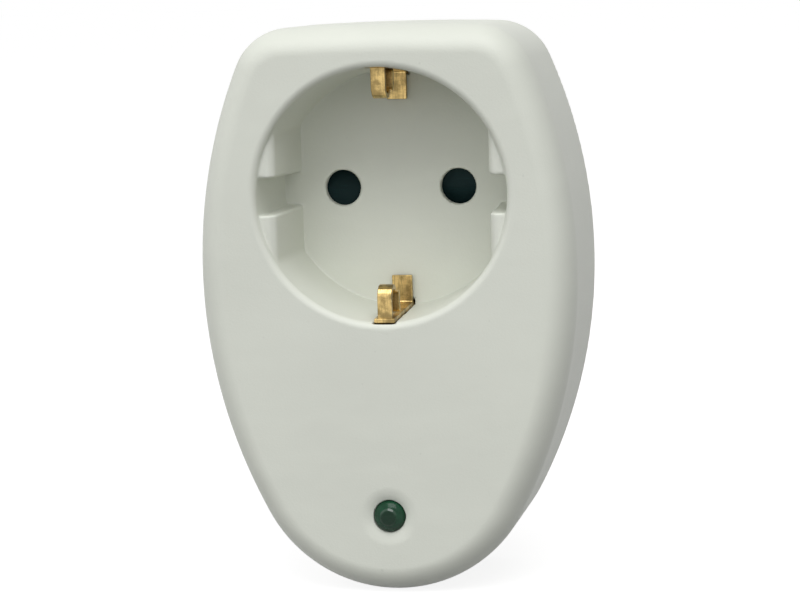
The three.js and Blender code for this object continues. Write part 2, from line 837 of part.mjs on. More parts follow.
// Earth strip on the plug: along its groove and through the plate, hooked over the end face
function earthStrip() {
  const middle = strapOuter - strapThickness / 2;
  const hookY = -strapSetback - strapThickness / 2;
  const path = [
    [hookY, strapOuter - strapThickness - fitGap - strapHook],
    [hookY, middle],
    [earthBarBackY + fitGap, middle],
  ];
  return alongX(bentStrip(path, [strapBend], strapThickness), strapHalfWidth);
}

// Earth bar with round ends, in front of the plate
function earthBar() {
  const shape = new THREE.Shape();
  shape.absarc(0, earthBarTop - earthBarHalfWidth, earthBarHalfWidth, 0, Math.PI);
  shape.absarc(0, earthBarHalfWidth - earthBarBottom, earthBarHalfWidth, Math.PI, 2 * Math.PI);
  return alongY(shape, earthBarY, earthBarBackY);
}

// Spring contact: a fork that grips a pin, riveted to the plug pin, with a tag for a wire
function springContact(side) {
  const mouthY = webBackY + fitGap + contactThickness / 2;
  const gripY = mouthY + contactFlare;
  const baseY = contactBaseY + contactThickness / 2;
  const half = contactThickness / 2;
  const upper = [
    [mouthY, contactMouthHalf + half],
    [gripY, contactGripHalf + half],
    [baseY, contactRootHalf + half],
  ];
  const lower = upper.map(([y, z]) => [y, -z]).reverse();
  const bends = [contactBend, contactBend, contactBend, contactBend];
  const fork = alongX(bentStrip([...upper, ...lower], bends, contactThickness), contactHalfWidth);
  const tag = block(
    span(-side, contactHalfWidth - half, contactHalfWidth + 2 * contactTagHalf),
    [contactBaseY, contactBaseY + contactThickness],
    [-contactTagReach, contactTagHalf],
  );
  const hole = rod(pinStubRadius + fitGap, contactBaseY - half, collarY);
  return toGeometry(cut(join(fork, tag), hole));
}

// Contact carrier: a web across both pin ways, and a hollow tower round each contact
function contactCarrier() {
  const half = plugFlatHalf - plugWall - fitGap;
  const backY = plugInnerY - fitGap;
  const channelHalf = earthBarHalfWidth + fitGap;
  const web = block([-half, half], [webY, webBackY], [-carrierWebHalf, carrierWebHalf]);
  const towers = toSolid(block([-half, half], [webY, backY], [-carrierHalf, carrierHalf]))
    .intersect(toSolid(rod(plugCoreRadius - fitGap, webY, backY, 0, 0, ringSteps)));
  const channel = block(
    [-channelHalf, channelHalf], [webBackY, backY + cutOverrun], [-plugCoreRadius, plugCoreRadius],
  );
  const cuts = [channel];
  for (const side of [-1, 1]) {
    const x = side * pinX;
    const tagNear = pinX - contactHalfWidth - 2 * contactTagHalf - fitGap;
    cuts.push(
      rod(pinHoleRadius, webY - cutOverrun, webBackY + cutOverrun, x),
      block(
        [x - pocketHalfWidth, x + pocketHalfWidth],
        [webBackY, backY + cutOverrun],
        [-pocketHalfHeight, pocketHalfHeight],
      ),
      block(
        span(side, tagNear, pinX - contactHalfWidth + contactThickness / 2 + fitGap),
        [contactBaseY - fitGap, backY + cutOverrun],
        [-carrierHalf - cutOverrun, contactTagHalf + fitGap],
      ),
    );
  }
  return toGeometry(cut(toSolid(web).add(towers), ...cuts));
}

// Shutter: two round blades on an arm, a hub round the post and a peg for the spring's free leg
function shutter() {
  const bladeRadius = pinHoleRadius + shutterLap;
  const pegX = -springLeg + springPegRadius;
  const pegZ = -springRadius + springWire / 2 + fitGap + springPegRadius;
  const whole = join(
    block([-pinX, pinX], [shutterY, shutterBackY], [-shutterArmHalf, shutterArmHalf]),
    rod(bladeRadius, shutterY, shutterBackY, -pinX),
    rod(bladeRadius, shutterY, shutterBackY, pinX),
    rod(shutterHubRadius, shutterY, hubBackY),
    rod(springPegRadius, shutterBackY - springPegRadius, hubBackY, pegX, pegZ),
  );
  const bore = rod(shutterPostRadius + fitGap, shutterY - cutOverrun, hubBackY + cutOverrun);

  // A pin slides down the slope on each blade and so turns the shutter
  const slope = new THREE.Shape([
    new THREE.Vector2(shutterY, 0),
    new THREE.Vector2(shutterY, bladeRadius + cutOverrun),
    new THREE.Vector2(shutterY + shutterRampDeep, bladeRadius + cutOverrun),
    new THREE.Vector2(shutterY + shutterRampDeep, bladeRadius - cutOverrun),
  ]);
  const ramps = [0, Math.PI].map((turn) =>
    alongX(slope, bladeRadius).translate(-pinX - fitGap, 0, 0).rotateY(turn),
  );
  return toGeometry(cut(whole, bore, ...ramps));
}

// A tube of even section along a curve
function tube(points, radius, sides, steps) {
  const section = new THREE.Shape(
    Array.from({ length: sides }, (_, i) => {
      const angle = (2 * Math.PI * i) / sides;
      return new THREE.Vector2(radius * Math.cos(angle), radius * Math.sin(angle));
    }),
  );
  const extrudePath = new THREE.CatmullRomCurve3(points);
  return new THREE.ExtrudeGeometry(section, { steps, extrudePath, bevelEnabled: false });
}

// Shutter spring: a fixed leg beside the upper stop post, a coil round the hub, a free leg
function shutterSpring() {
  const startY = shutterBackY + fitGap + springWire / 2;
  const coil = Array.from({ length: springSteps + 1 }, (_, i) => {
    const turn = (springTurns * i) / springSteps;
    const angle = -2 * Math.PI * turn;
    return new THREE.Vector3(
      springRadius * Math.cos(angle),
      startY + springPitch * turn,
      springRadius * Math.sin(angle),
    );
  });
  const endY = startY + springPitch * springTurns;
  const fixedLeg = [1, 1 / 2].map(
    (share) => new THREE.Vector3(springRadius, startY, springLeg * share),
  );
  const freeLeg = [1 / 2, 1].map(
    (share) => new THREE.Vector3(-springLeg * share, endY, -springRadius),
  );
  return tube([...fixedLeg, ...coil, ...freeLeg], springWire / 2, springSides, wireSteps);
}

// Board: a plate that follows the housing's taper, with holes for its screws and the lamp's leads
function circuitBoard() {
  const outline = new THREE.Shape([
    new THREE.Vector2(-boardFootHalfWidth, -boardBottom),
    new THREE.Vector2(boardFootHalfWidth, -boardBottom),
    new THREE.Vector2(boardHalfWidth, -boardSlopeTop),
    new THREE.Vector2(boardHalfWidth, -boardTop),
    new THREE.Vector2(-boardHalfWidth, -boardTop),
    new THREE.Vector2(-boardHalfWidth, -boardSlopeTop),
  ]);
  const holes = [-1, 1].flatMap((side) => [
    rod(boardShankRadius + fitGap, boardY - cutOverrun, boardBackY + cutOverrun,
      side * boardScrewX, -boardScrewZ),
    rod(leadHoleRadius, boardY - cutOverrun, boardBackY + cutOverrun,
      (side * lampLeadSpacing) / 2, -lampBelowAxis),
  ]);
  return toGeometry(cut(toSolid(alongY(outline, boardY, boardBackY)), ...holes));
}

// Varistor: a coated disc on two legs that point down its own Z axis
function varistor() {
  const legs = [-1, 1].map((side) => {
    const x = (side * varistorRadius * 2) / 3;
    return block(
      [x - leadThickness / 2, x + leadThickness / 2],
      [-leadThickness / 2, leadThickness / 2],
      [-varistorRadius - varistorStand, -varistorRadius / 3],
    );
  });
  const rim = varistorThickness / 4;
  const disc = turned(
    [
      [0, -varistorThickness / 2],
      [varistorRadius - rim, -varistorThickness / 2],
      [varistorRadius, -rim],
      [varistorRadius, rim],
      [varistorRadius - rim, varistorThickness / 2],
      [0, varistorThickness / 2],
    ],
    smallRingSteps,
  );
  return toGeometry(join(disc, ...legs));
}

// A part on a bent lead: its turned body lies along X, above the board at y = 0
function axialPart(profile, radius) {
  const length = profile.at(-1)[1] - profile[0][1];
  const height = radius + axialLift;
  const reach = length / 2 + boardHalfWidth * axialReachShare;
  const lead = bentStrip(
    [[-reach, 0], [-reach, height], [reach, height], [reach, 0]],
    [leadThickness, leadThickness],
    leadThickness,
  );
  const wire = new THREE.ExtrudeGeometry(lead, { depth: leadThickness, bevelEnabled: false });
  const body = turned(profile, smallRingSteps).rotateZ(-Math.PI / 2).translate(0, height, 0);
  return toGeometry(join(wire.translate(0, 0, -leadThickness / 2), body));
}

// Profiles of the parts on bent leads, as [radius, place along the lead]
function plainProfile(radius, length) {
  return [[0, -length / 2], [radius, -length / 2], [radius, length / 2], [0, length / 2]];
}

// A thinner middle between two end caps
function waistedProfile(radius, length, cap) {
  const waist = radius - cap / 4;
  return [
    [0, -length / 2],
    [radius, -length / 2],
    [radius, -length / 2 + cap],
    [waist, -length / 2 + cap],
    [waist, length / 2 - cap],
    [radius, length / 2 - cap],
    [radius, length / 2],
    [0, length / 2],
  ];
}

// Box capacitor on two legs, above the board at y = 0
function capacitor() {
  const halfLength = (boardHalfWidth * capacitorLengthShare) / 2;
  const halfThickness = (boardHeight * capacitorThicknessShare) / 2;
  const legs = [-1, 1].map((side) => {
    const x = side * halfLength * (3 / 4);
    return block(
      [x - leadThickness / 2, x + leadThickness / 2],
      [0, axialLift + leadThickness],
      [-leadThickness / 2, leadThickness / 2],
    );
  });
  const box = block(
    [-halfLength, halfLength],
    [axialLift, axialLift + capacitorHeight],
    [-halfThickness, halfThickness],
  );
  return toGeometry(join(box, ...legs));
}

// Lamp: a domed lens body with a flange at its back
function lamp() {
  const tipY = frontY - lampProud;
  const backY = tipY + lampLength;
  const dome = Array.from({ length: 2 * arcSteps }, (_, i) => {
    const lean = ((Math.PI / 2) * (i + 1)) / (2 * arcSteps);
    return [lampRadius * Math.sin(lean), tipY + lampRadius * (1 - Math.cos(lean))];
  });
  return turned(
    [
      [0, tipY],
      ...dome,
      [lampRadius, backY - lampFlange],
      [lampFlangeRadius, backY - lampFlange],
      [lampFlangeRadius, backY],
      [0, backY],
    ],
    2 * smallRingSteps,
  );
}

function lampSpacer() {
  const disc = toSolid(rod(lampFlangeRadius, lampBackY + fitGap, boardY - fitGap));
  const holes = [-1, 1].map((side) =>
    rod(leadHoleRadius, lampBackY, boardY, (side * lampLeadSpacing) / 2),
  );
  return toGeometry(cut(disc, ...holes));
}

// Screw with a crossed drive, its head's top at y = 0 and its shank towards the front
function screw(shankRadius, headRadius, headHeight, length) {
  const body = turned(
    [
      [0, -headHeight - length],
      [shankRadius / 2, -headHeight - length],
      [shankRadius, -headHeight - length + shankRadius],
      [shankRadius, -headHeight],
      [headRadius, -headHeight],
      [headRadius, -headHeight / 3],
      [headRadius * (2 / 3), 0],
      [0, 0],
    ],
    smallRingSteps,
  );
  const reach = headRadius * (3 / 5);
  const drive = [-headHeight / 2, cutOverrun];
  const across = [-driveSlot / 2, driveSlot / 2];
  return toGeometry(
    cut(toSolid(body), block([-reach, reach], drive, across), block(across, drive, [-reach, reach])),
  );
}

// Wires: out of the plug body past the web, under the well, and forward to the board
function liveWire(side) {
  const tagX = pinX - contactHalfWidth - contactTagHalf;
  const points = [
    [tagX, contactBaseY - fitGap, -contactTagReach + wireRadius],
    [tagX, contactBaseY - wireRun, -contactTagReach + wireRadius],
    [
      (tagX + wireGateX) / 2,
      (contactBaseY + plateY) / 2 - wireRadius,
      (wireRadius - contactTagReach - wireGateZ) / 2,
    ],
    [wireGateX, plateY - wireRadius, -wireGateZ],
    [(wireGateX + wireEndX) / 2, shutterBackY + wireRadius, -(wireGateZ + wellCupRadius) / 2],
    [wireEndX - wireRadius, floorBackY, -wellCupRadius - 3 * wireRadius],
    [wireEndX, (floorBackY + boardBackY) / 2, -wireEndZ],
    [wireEndX, boardBackY + wireRun / 2, -wireEndZ],
    [wireEndX, boardBackY + fitGap, -wireEndZ],
  ];
  const route = points.map(([x, y, z]) => new THREE.Vector3(side * x, y, z));
  return tube(route, wireRadius, wireSides, wireSteps);
}

function earthWire() {
  const startZ = earthBarHalfWidth / 2 - earthBarBottom;
  const points = [
    [earthBarY - fitGap, startZ],
    [floorBackY + wireRun / 2, startZ],
    [floorBackY - wireRun, startZ - wireRadius],
    [boardBackY + wireRun, -wireEndZ],
    [boardBackY + fitGap, -wireEndZ],
  ];
  const route = points.map(([y, z]) => new THREE.Vector3(0, y, z));
  return tube(route, wireRadius, wireSides, wireSteps);
}

// The assembly

addMesh("front_cover", frontCover(), whitePlastic);
addMesh("rear_cover", rearCover(), whitePlastic);
addMesh("shutter", shutter(), tealPlastic);
addMesh("shutter_spring", shutterSpring(), springSteel);
addMesh("contact_carrier", contactCarrier(), carrierPlastic);
addMesh("earth_bar", earthBar(), brass);

for (const [side, name] of [[-1, "left"], [1, "right"]]) {
  addMesh("plug_pin_" + name, plugPin(), nickel).position.x = side * pinX;
  addMesh("contact_" + name, springContact(side), brass).position.x = side * pinX;
}

for (const [name, turn, noseReach, footReach] of [
  ["upper", 0, upperNoseReach, upperFootReach],
  ["lower", Math.PI, lowerNoseReach, lowerFootReach],
]) {
  const earthing = new THREE.Group();
  earthing.rotation.y = turn;
  root.add(earthing);
  addMesh("earth_clip_" + name, earthClip(noseReach, footReach), brass, earthing);
  addMesh("plug_earth_strip_" + name, earthStrip(), nickel, earthing);
}

const lampUnit = new THREE.Group();
lampUnit.position.z = -lampBelowAxis;
root.add(lampUnit);
addMesh("indicator_lamp", lamp(), greenLens, lampUnit);
addMesh("lamp_spacer", lampSpacer(), blackPlastic, lampUnit);
for (const [side, name] of [[-1, "left"], [1, "right"]]) {
  const half = leadThickness / 2;
  const lead = block([-half, half], [lampBackY + fitGap, boardBackY + leadThickness], [-half, half]);
  addMesh("lamp_lead_" + name, lead, zincSteel, lampUnit).position.x = (side * lampLeadSpacing) / 2;
}

addMesh("circuit_board", circuitBoard(), boardLaminate);
const onBoard = new THREE.Group();
onBoard.position.y = boardBackY + fitGap;
root.add(onBoard);
for (let i = 0; i < varistorCount; i++) {
  const disc = addMesh("varistor_" + (i + 1), varistor(), varistorCoat, onBoard);
  disc.rotation.x = -Math.PI / 2;
  disc.position.set(
    -boardHalfWidth * varistorXShare,
    varistorStand + varistorRadius,
    -boardTop - boardHeight * (varistorTopShare + i * varistorPitchShare),
  );
}
const smallPartsX = boardHalfWidth * smallPartsXShare;
const fuseX = boardHalfWidth * fuseXShare;
const gasTubeRadius = boardHeight * gasTubeRadiusShare;
const resistorRadius = boardHeight * resistorRadiusShare;
const diodeRadius = boardHeight * diodeRadiusShare;
const fuseRadius = boardHeight * fuseRadiusShare;
const gasTubeProfile = waistedProfile(
  gasTubeRadius, boardHalfWidth * gasTubeLengthShare, boardHalfWidth * gasTubeRimShare,
);
const resistorProfile = waistedProfile(
  resistorRadius, boardHalfWidth * resistorLengthShare, resistorRadius,
);
const diodeProfile = plainProfile(diodeRadius, boardHalfWidth * diodeLengthShare);
const fuseProfile = plainProfile(fuseRadius, boardHalfWidth * fuseLengthShare);
const axialParts = [
  ["gas_tube", gasTubeProfile, gasTubeRadius, ceramic, smallPartsX, gasTubeShare],
  ["resistor", resistorProfile, resistorRadius, resistorCoat, smallPartsX, resistorShare],
  ["diode", diodeProfile, diodeRadius, blackPlastic, smallPartsX, diodeShare],
  ["thermal_fuse", fuseProfile, fuseRadius, zincSteel, -fuseX, fuseShare],
];
for (const [name, profile, radius, material, x, share] of axialParts) {
  addMesh(name, axialPart(profile, radius), material, onBoard)
    .position.set(x, 0, -boardTop - boardHeight * share);
}
addMesh("capacitor", capacitor(), capacitorPlastic, onBoard)
  .position.set(smallPartsX, 0, -boardTop - boardHeight * capacitorShare);

screwPlaces.forEach(([x, z], i) => {
  const geometry = screw(screwShankRadius, screwHeadRadius, screwHeadHeight, screwLength);
  addMesh("housing_screw_" + (i + 1), geometry, zincSteel)
    .position.set(x, housingBackY - screwRecess, z);
});
[-1, 1].forEach((side, i) => {
  const geometry = screw(boardShankRadius, boardHeadRadius, boardHeadHeight, boardScrewLength);
  addMesh("board_screw_" + (i + 1), geometry, zincSteel)
    .position.set(side * boardScrewX, boardBackY + fitGap + boardHeadHeight, -boardScrewZ);
});

addMesh("wire_line", liveWire(-1), plastic(0x6b3f22, 0.5));
addMesh("wire_neutral", liveWire(1), plastic(0x2a5fb0, 0.5));
addMesh("wire_earth", earthWire(), plastic(0x8fae2d, 0.5));

export default root;
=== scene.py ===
"""Looks of a plug-through mains adapter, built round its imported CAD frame.

Moulded and stamped pieces are meshed from distance fields in millimetres, so every edge has the
small radius that a tool leaves. Turned pieces are spun from profiles, and wires follow curves.
"""

import itertools
import math

import bmesh
import bpy
import numpy as np
from bpy.props import FloatProperty, FloatVectorProperty, PointerProperty
from mathutils import Matrix, Vector


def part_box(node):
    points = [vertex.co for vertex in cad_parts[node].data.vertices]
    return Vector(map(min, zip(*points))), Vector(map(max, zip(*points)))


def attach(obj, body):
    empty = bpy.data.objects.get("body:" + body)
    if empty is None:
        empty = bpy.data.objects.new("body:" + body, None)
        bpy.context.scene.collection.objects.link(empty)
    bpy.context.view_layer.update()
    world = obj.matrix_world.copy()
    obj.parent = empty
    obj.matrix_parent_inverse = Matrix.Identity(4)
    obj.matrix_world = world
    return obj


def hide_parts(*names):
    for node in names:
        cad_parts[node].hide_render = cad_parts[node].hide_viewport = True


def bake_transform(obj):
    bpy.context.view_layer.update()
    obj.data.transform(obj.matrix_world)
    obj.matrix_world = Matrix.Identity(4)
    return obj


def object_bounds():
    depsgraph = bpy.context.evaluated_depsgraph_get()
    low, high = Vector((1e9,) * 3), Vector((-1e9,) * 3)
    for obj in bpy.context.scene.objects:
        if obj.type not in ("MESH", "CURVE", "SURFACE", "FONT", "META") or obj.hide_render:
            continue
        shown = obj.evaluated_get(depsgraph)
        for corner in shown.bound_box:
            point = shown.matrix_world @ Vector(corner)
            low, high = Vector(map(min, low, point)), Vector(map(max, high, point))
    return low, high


bl_info = {
    "name": "Plug-through adapter",
    "version": (1, 0, 0),
    "blender": (4, 5, 0),
    "location": "3D View > Sidebar > Adapter",
    "description": "Builds the moulded, stamped and wired pieces of a plug-through adapter",
    "category": "Add Mesh",
}

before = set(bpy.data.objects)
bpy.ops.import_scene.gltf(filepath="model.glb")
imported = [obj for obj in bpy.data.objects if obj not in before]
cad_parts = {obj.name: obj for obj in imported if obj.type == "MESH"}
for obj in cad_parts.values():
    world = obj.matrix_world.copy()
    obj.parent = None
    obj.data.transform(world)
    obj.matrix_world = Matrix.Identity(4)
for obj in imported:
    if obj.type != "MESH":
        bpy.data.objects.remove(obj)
CAD_BOX = [list(corner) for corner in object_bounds()]

MM = 0.001

# Sizes shared with the CAD source, in millimetres, from the socket's axis and the plug's end face
FRONT = -45.4
FLOOR = -27.9
FLOOR_BACK = -26.3
SHUTTER_FRONT = -26.0
SHUTTER_BACK = -24.2
HUB_BACK = -22.2
PLATE = -19.4
BACK = -17.2
PLUG_INNER = -2.4
HALF_WIDTH = 30.1
WIDEST = -12.1
TOP = 26.6
BOTTOM = -63.3
SIDE_ARC = 83
CORNER_ARC = 9.3
TOP_ARC = 400
WALL = 2
FRONT_WALL = 2.2
FLOOR_RADIUS = 19.2
CUP = 21.1
PIN_X = 9.5
PIN_HOLE = 2.9
CLIP_HALF = 1.65
CLIP_THICK = 0.8
LAMP_Z = -50.7
LAMP_PROUD = 0.8
LAMP_HOLE = 2.55
LEAD_X = 1.27
LEAD_HOLE = 0.6
PLUG_RADIUS = 18.4
PLUG_FLAT = 15.9
GROOVE_HALF = 2.3
SCREWS = ((-16.52, 19.8), (16.52, 19.8), (0, -57.2))
SCREW_HOLE = 1.8
BOARD_POSTS = ((-15, -27.5), (15, -27.5))
BOARD_SCREW_HOLE = 1.3
BOARD_FRONT = -37
BOARD_BACK = -35.4
SPRING_WIRE = 0.225

# Sizes that follow the photograph, where the solids are up to half a millimetre off
MOUTH = 19.95
CLIP_GAP = 0.12

# How far a cut runs past the surface that it opens
PAST = 2


# Distance fields: each takes coordinates in millimetres and is negative inside the solid

def join(first, *others, radius=0.0):
    """The solids together, with inner corners of that radius."""
    whole = first
    for other in others:
        if radius:
            corner = np.hypot(np.maximum(radius - whole, 0), np.maximum(radius - other, 0))
            whole = np.maximum(np.minimum(whole, other), radius) - corner
        else:
            whole = np.minimum(whole, other)
    return whole


def common(first, *others, radius=0.0):
    """What the solids share, with outer edges of that radius."""
    whole = first
    for other in others:
        if radius:
            edge = np.hypot(np.maximum(whole + radius, 0), np.maximum(other + radius, 0))
            whole = np.minimum(np.maximum(whole, other), -radius) + edge
        else:
            whole = np.maximum(whole, other)
    return whole


def carve(solid, *tools, radius=0.0):
    """The solid without the tools, with edges of that radius round each opening."""
    for tool in tools:
        solid = common(solid, -tool, radius=radius)
    return solid


def slab(value, low, high):
    return np.maximum(low - value, value - high)


def block(p, x, y, z, radius=0.0):
    """A box by its limits along X, Y and Z."""
    return common(slab(p[0], *x), slab(p[1], *y), slab(p[2], *z), radius=radius)


def rod(p, size, y0, y1, x=0.0, z=0.0, radius=0.0):
    """A round bar along Y."""
    return common(np.hypot(p[0] - x, p[2] - z) - size, slab(p[1], y0, y1), radius=radius)


def along(u, v, path):
    """Distance in a plane from a path of straight runs."""
    best = np.full(np.shape(u), np.inf, dtype=np.float32)
    for (u0, v0), (u1, v1) in zip(path, path[1:]):
        du, dv = u1 - u0, v1 - v0
        share = np.clip(((u - u0) * du + (v - v0) * dv) / (du * du + dv * dv), 0, 1)
        best = np.minimum(best, np.hypot(u - u0 - share * du, v - v0 - share * dv))
    return best


def rounded_path(corners, radii, steps=6):
    """Corners of a path, each inner one rounded by its own radius."""
    path = [Vector(corners[0])]
    for before, here, after, radius in zip(corners, corners[1:], corners[2:], radii):
        here = Vector(here)
        back = (Vector(before) - here).normalized()
        on = (Vector(after) - here).normalized()
        half = back.angle(on) / 2
        if half > 1.56:
            path.append(here)
            continue
        centre = here + (back + on).normalized() * (radius / math.sin(half))
        start = here + back * (radius / math.tan(half)) - centre
        end = here + on * (radius / math.tan(half)) - centre
        for i in range(steps + 1):
            path.append(centre + start.lerp(end, i / steps).normalized() * radius)
    path.append(Vector(corners[-1]))
    return [tuple(point) for point in path]


def housing_arcs():
    """Centres and radii of the outline's arcs, and the rays above which the later ones hold."""
    drop = WIDEST - BOTTOM
    bottom_arc = (2 * SIDE_ARC * HALF_WIDTH - HALF_WIDTH**2 - drop**2) / (2 * (SIDE_ARC - drop))
    side = Vector((HALF_WIDTH - SIDE_ARC, WIDEST))
    bottom = Vector((0, BOTTOM + bottom_arc))
    top = Vector((0, TOP - TOP_ARC))
    reach_side, reach_top = SIDE_ARC - CORNER_ARC, TOP_ARC - CORNER_ARC
    apart = (top - side).length
    along_line = (reach_side**2 - reach_top**2 + apart**2) / (2 * apart)
    across_line = math.sqrt(reach_side**2 - along_line**2)
    line = (top - side).normalized()
    corner = side + line * along_line + Vector((-line.y, line.x)) * across_line
    arcs = ((bottom, bottom_arc), (side, SIDE_ARC), (corner, CORNER_ARC), (top, TOP_ARC))
    rays = (
        (side, bottom - side, BOTTOM - TOP),
        (side, corner - side, WIDEST),
        (top, corner - top, 0),
    )
    return arcs, rays


ARCS, RAYS = housing_arcs()


def outline(x, z):
    """Distance from the housing's outline as seen from the front."""
    x = np.abs(x)
    centre, radius = ARCS[0]
    value = np.hypot(x - centre.x, z - centre.y) - radius
    for (centre, radius), (start, ray, lowest) in zip(ARCS[1:], RAYS):
        later = (ray.x * (z - start.y) - ray.y * (x - start.x) > 0) & (z > lowest)
        value = np.where(later, np.hypot(x - centre.x, z - centre.y) - radius, value)
    return value


def dome_edge(across, deep, front, side, y):
    """A flat front that rolls over into a side wall by a quarter of an ellipse."""
    u = np.maximum(side + across, 0)
    v = np.maximum(front + deep - y, 0)
    share = np.hypot(u / across, v / deep)
    slope = np.maximum(np.hypot(u / across**2, v / deep**2), 1e-6)
    corner = share * (share - 1) / slope
    return np.where((u > 0) & (v > 0), corner, np.where(v > 0, front - y, side))


def flip(p):
    """The same points after a half turn round the socket's axis."""
    return -p[0], p[1], -p[2]


# Meshes

def value_and_slope(field, at, step):
    """A field's value and gradient at points."""
    slopes = []
    for axis in range(3):
        ahead, behind = at.copy(), at.copy()
        ahead[:, axis] += step
        behind[:, axis] -= step
        slopes.append((field(tuple(ahead.T)) - field(tuple(behind.T))) / (2 * step))
    return field(tuple(at.T)), np.stack(slopes, 1)


def settle(field, points, cell, reach):
    """Moves points onto the zero surface, each by no more than its reach."""
    start = points.copy()
    for _ in range(3):
        here, slope = value_and_slope(field, points, 0.1 * cell)
        size = np.maximum((slope * slope).sum(1), 0.05)
        points = points - np.clip((here / size)[:, None] * slope, -0.4 * cell, 0.4 * cell)
        points = np.clip(points, start - reach, start + reach)
    return points


def surface(field, low, high, cell):
    """Points and quads of a closed mesh on the zero surface of a field."""
    low = np.array(low, float) - 2 * cell
    counts = np.ceil((np.array(high, float) + 2 * cell - low) / cell).astype(int) + 1
    axes = [(a + cell * np.arange(n)).astype(np.float32) for a, n in zip(low, counts)]
    values = field(np.meshgrid(*axes, indexing="ij", sparse=True))
    values = np.broadcast_to(values, counts).astype(np.float32)
    inside = values < 0

    corners = list(itertools.product((0, 1), repeat=3))
    cells = counts - 1
    total = np.zeros(cells, np.uint8)
    for i, j, k in corners:
        total += inside[i:i + cells[0], j:j + cells[1], k:k + cells[2]]
    mixed = (total > 0) & (total < 8)
    index = np.full(cells, -1, np.int32)
    index[mixed] = np.arange(np.count_nonzero(mixed))
    base = np.argwhere(mixed)

    at_corner = {c: values[tuple((base + c).T)] for c in corners}
    places = np.zeros((len(base), 3))
    crossings = np.zeros(len(base))
    for first, second in itertools.combinations(corners, 2):
        if sum(abs(a - b) for a, b in zip(first, second)) != 1:
            continue
        a, b = at_corner[first], at_corner[second]
        crossed = (a < 0) != (b < 0)
        share = np.where(crossed, a / np.where(crossed, a - b, 1), 0)[:, None]
        place = np.array(first) + share * (np.array(second) - np.array(first))
        places += np.where(crossed[:, None], place, 0)
        crossings += crossed
    points = settle(field, low + cell * (base + places / crossings[:, None]), cell, 0.6 * cell)

    quads = []
    for axis in range(3):
        u, v = (axis + 1) % 3, (axis + 2) % 3
        a = np.take(inside, range(counts[axis] - 1), axis)
        b = np.take(inside, range(1, counts[axis]), axis)
        edges = np.argwhere(a != b)
        quad = []
        for du, dv in ((0, 0), (-1, 0), (-1, -1), (0, -1)):
            place = edges.copy()
            place[:, u] += du
            place[:, v] += dv
            quad.append(index[tuple(place.T)])
        quad = np.stack(quad, 1)
        outward = a[tuple(edges.T)]
        quads.append(np.where(outward[:, None], quad, quad[:, ::-1]))
    return points, np.concatenate(quads)


def field_mesh(name, field, low, high, cell, keep=1.0):
    """A piece meshed from its field, thinned to a share of its faces where it is flat."""
    points, quads = surface(field, low, high, cell)
    mesh = bpy.data.meshes.new(name)
    mesh.from_pydata(points.tolist(), [], quads.tolist())
    if keep < 1:
        carrier = bpy.data.objects.new(name + "_thinned", mesh)
        bpy.context.scene.collection.objects.link(carrier)
        carrier.modifiers.new("thin", "DECIMATE").ratio = keep
        thinned = bpy.data.meshes.new_from_object(
            carrier.evaluated_get(bpy.context.evaluated_depsgraph_get()))
        bpy.data.objects.remove(carrier)
        bpy.data.meshes.remove(mesh)
        mesh = thinned
        mesh.name = name
    co = np.zeros(3 * len(mesh.vertices), np.float32)
    mesh.vertices.foreach_get("co", co)
    points = settle(field, co.reshape(-1, 3).astype(float), cell, 0.3 * cell)
    _, normals = value_and_slope(field, points, 0.1 * cell)
    normals /= np.maximum(np.linalg.norm(normals, axis=1), 1e-9)[:, None]
    mesh.vertices.foreach_set("co", (points * MM).astype(np.float32).ravel())
    mesh.shade_smooth()
    mesh.update()
    mesh.normals_split_custom_set_from_vertices(normals.tolist())
    return mesh


def spun(profile, steps=64):
    """Points and faces of a profile of [radius, y] points turned round the Y axis."""
    points, faces = [], []
    rings = []
    for radius, y in profile:
        if radius < 1e-6:
            rings.append([len(points)])
            points.append((0, y, 0))
            continue
        rings.append(list(range(len(points), len(points) + steps)))
        for i in range(steps):
            turn = 2 * math.pi * i / steps
            points.append((radius * math.cos(turn), y, radius * math.sin(turn)))
    for first, second in zip(rings, rings[1:]):
        for i in range(steps):
            j = (i + 1) % steps
            face = [first[i % len(first)], second[i % len(second)],
                    second[j % len(second)], first[j % len(first)]]
            faces.append(list(dict.fromkeys(face)))
    return points, faces


def soft_profile(corners, radius, steps=4):
    """The profile with its corners rounded, apart from its ends."""
    spots = [Vector(c) for c in corners]
    radii = []
    for before, here, after in zip(spots, spots[1:], spots[2:]):
        half = (before - here).angle(after - here) / 2
        room = 0.45 * min((before - here).length, (after - here).length)
        radii.append(min(radius, room * math.tan(min(half, 1.5))))
    return rounded_path(corners, radii, steps)


def turned_piece(name, profile, place=(0, 0, 0), steps=64):
    points, faces = spun(profile, steps)
    mesh = bpy.data.meshes.new(name)
    mesh.from_pydata([(Vector(p) + Vector(place)) * MM for p in points], [], faces)
    bm = bmesh.new()
    bm.from_mesh(mesh)
    bmesh.ops.recalc_face_normals(bm, faces=bm.faces)
    bm.to_mesh(mesh)
    bm.free()
    mesh.shade_smooth()
    mesh.set_sharp_from_angle(angle=math.radians(40))
    return mesh


def place_piece(name, mesh, finish, body, *nodes, slot=None):
    """Puts a mesh in the scene in place of CAD nodes, on their body and in their finish."""
    piece = bpy.data.objects.new(name, mesh)
    bpy.context.scene.collection.objects.link(piece)
    if not mesh.materials:
        mesh.materials.append(finish)
    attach(piece, body)
    if nodes:
        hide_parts(*nodes)
    return piece


# Fields of the pieces

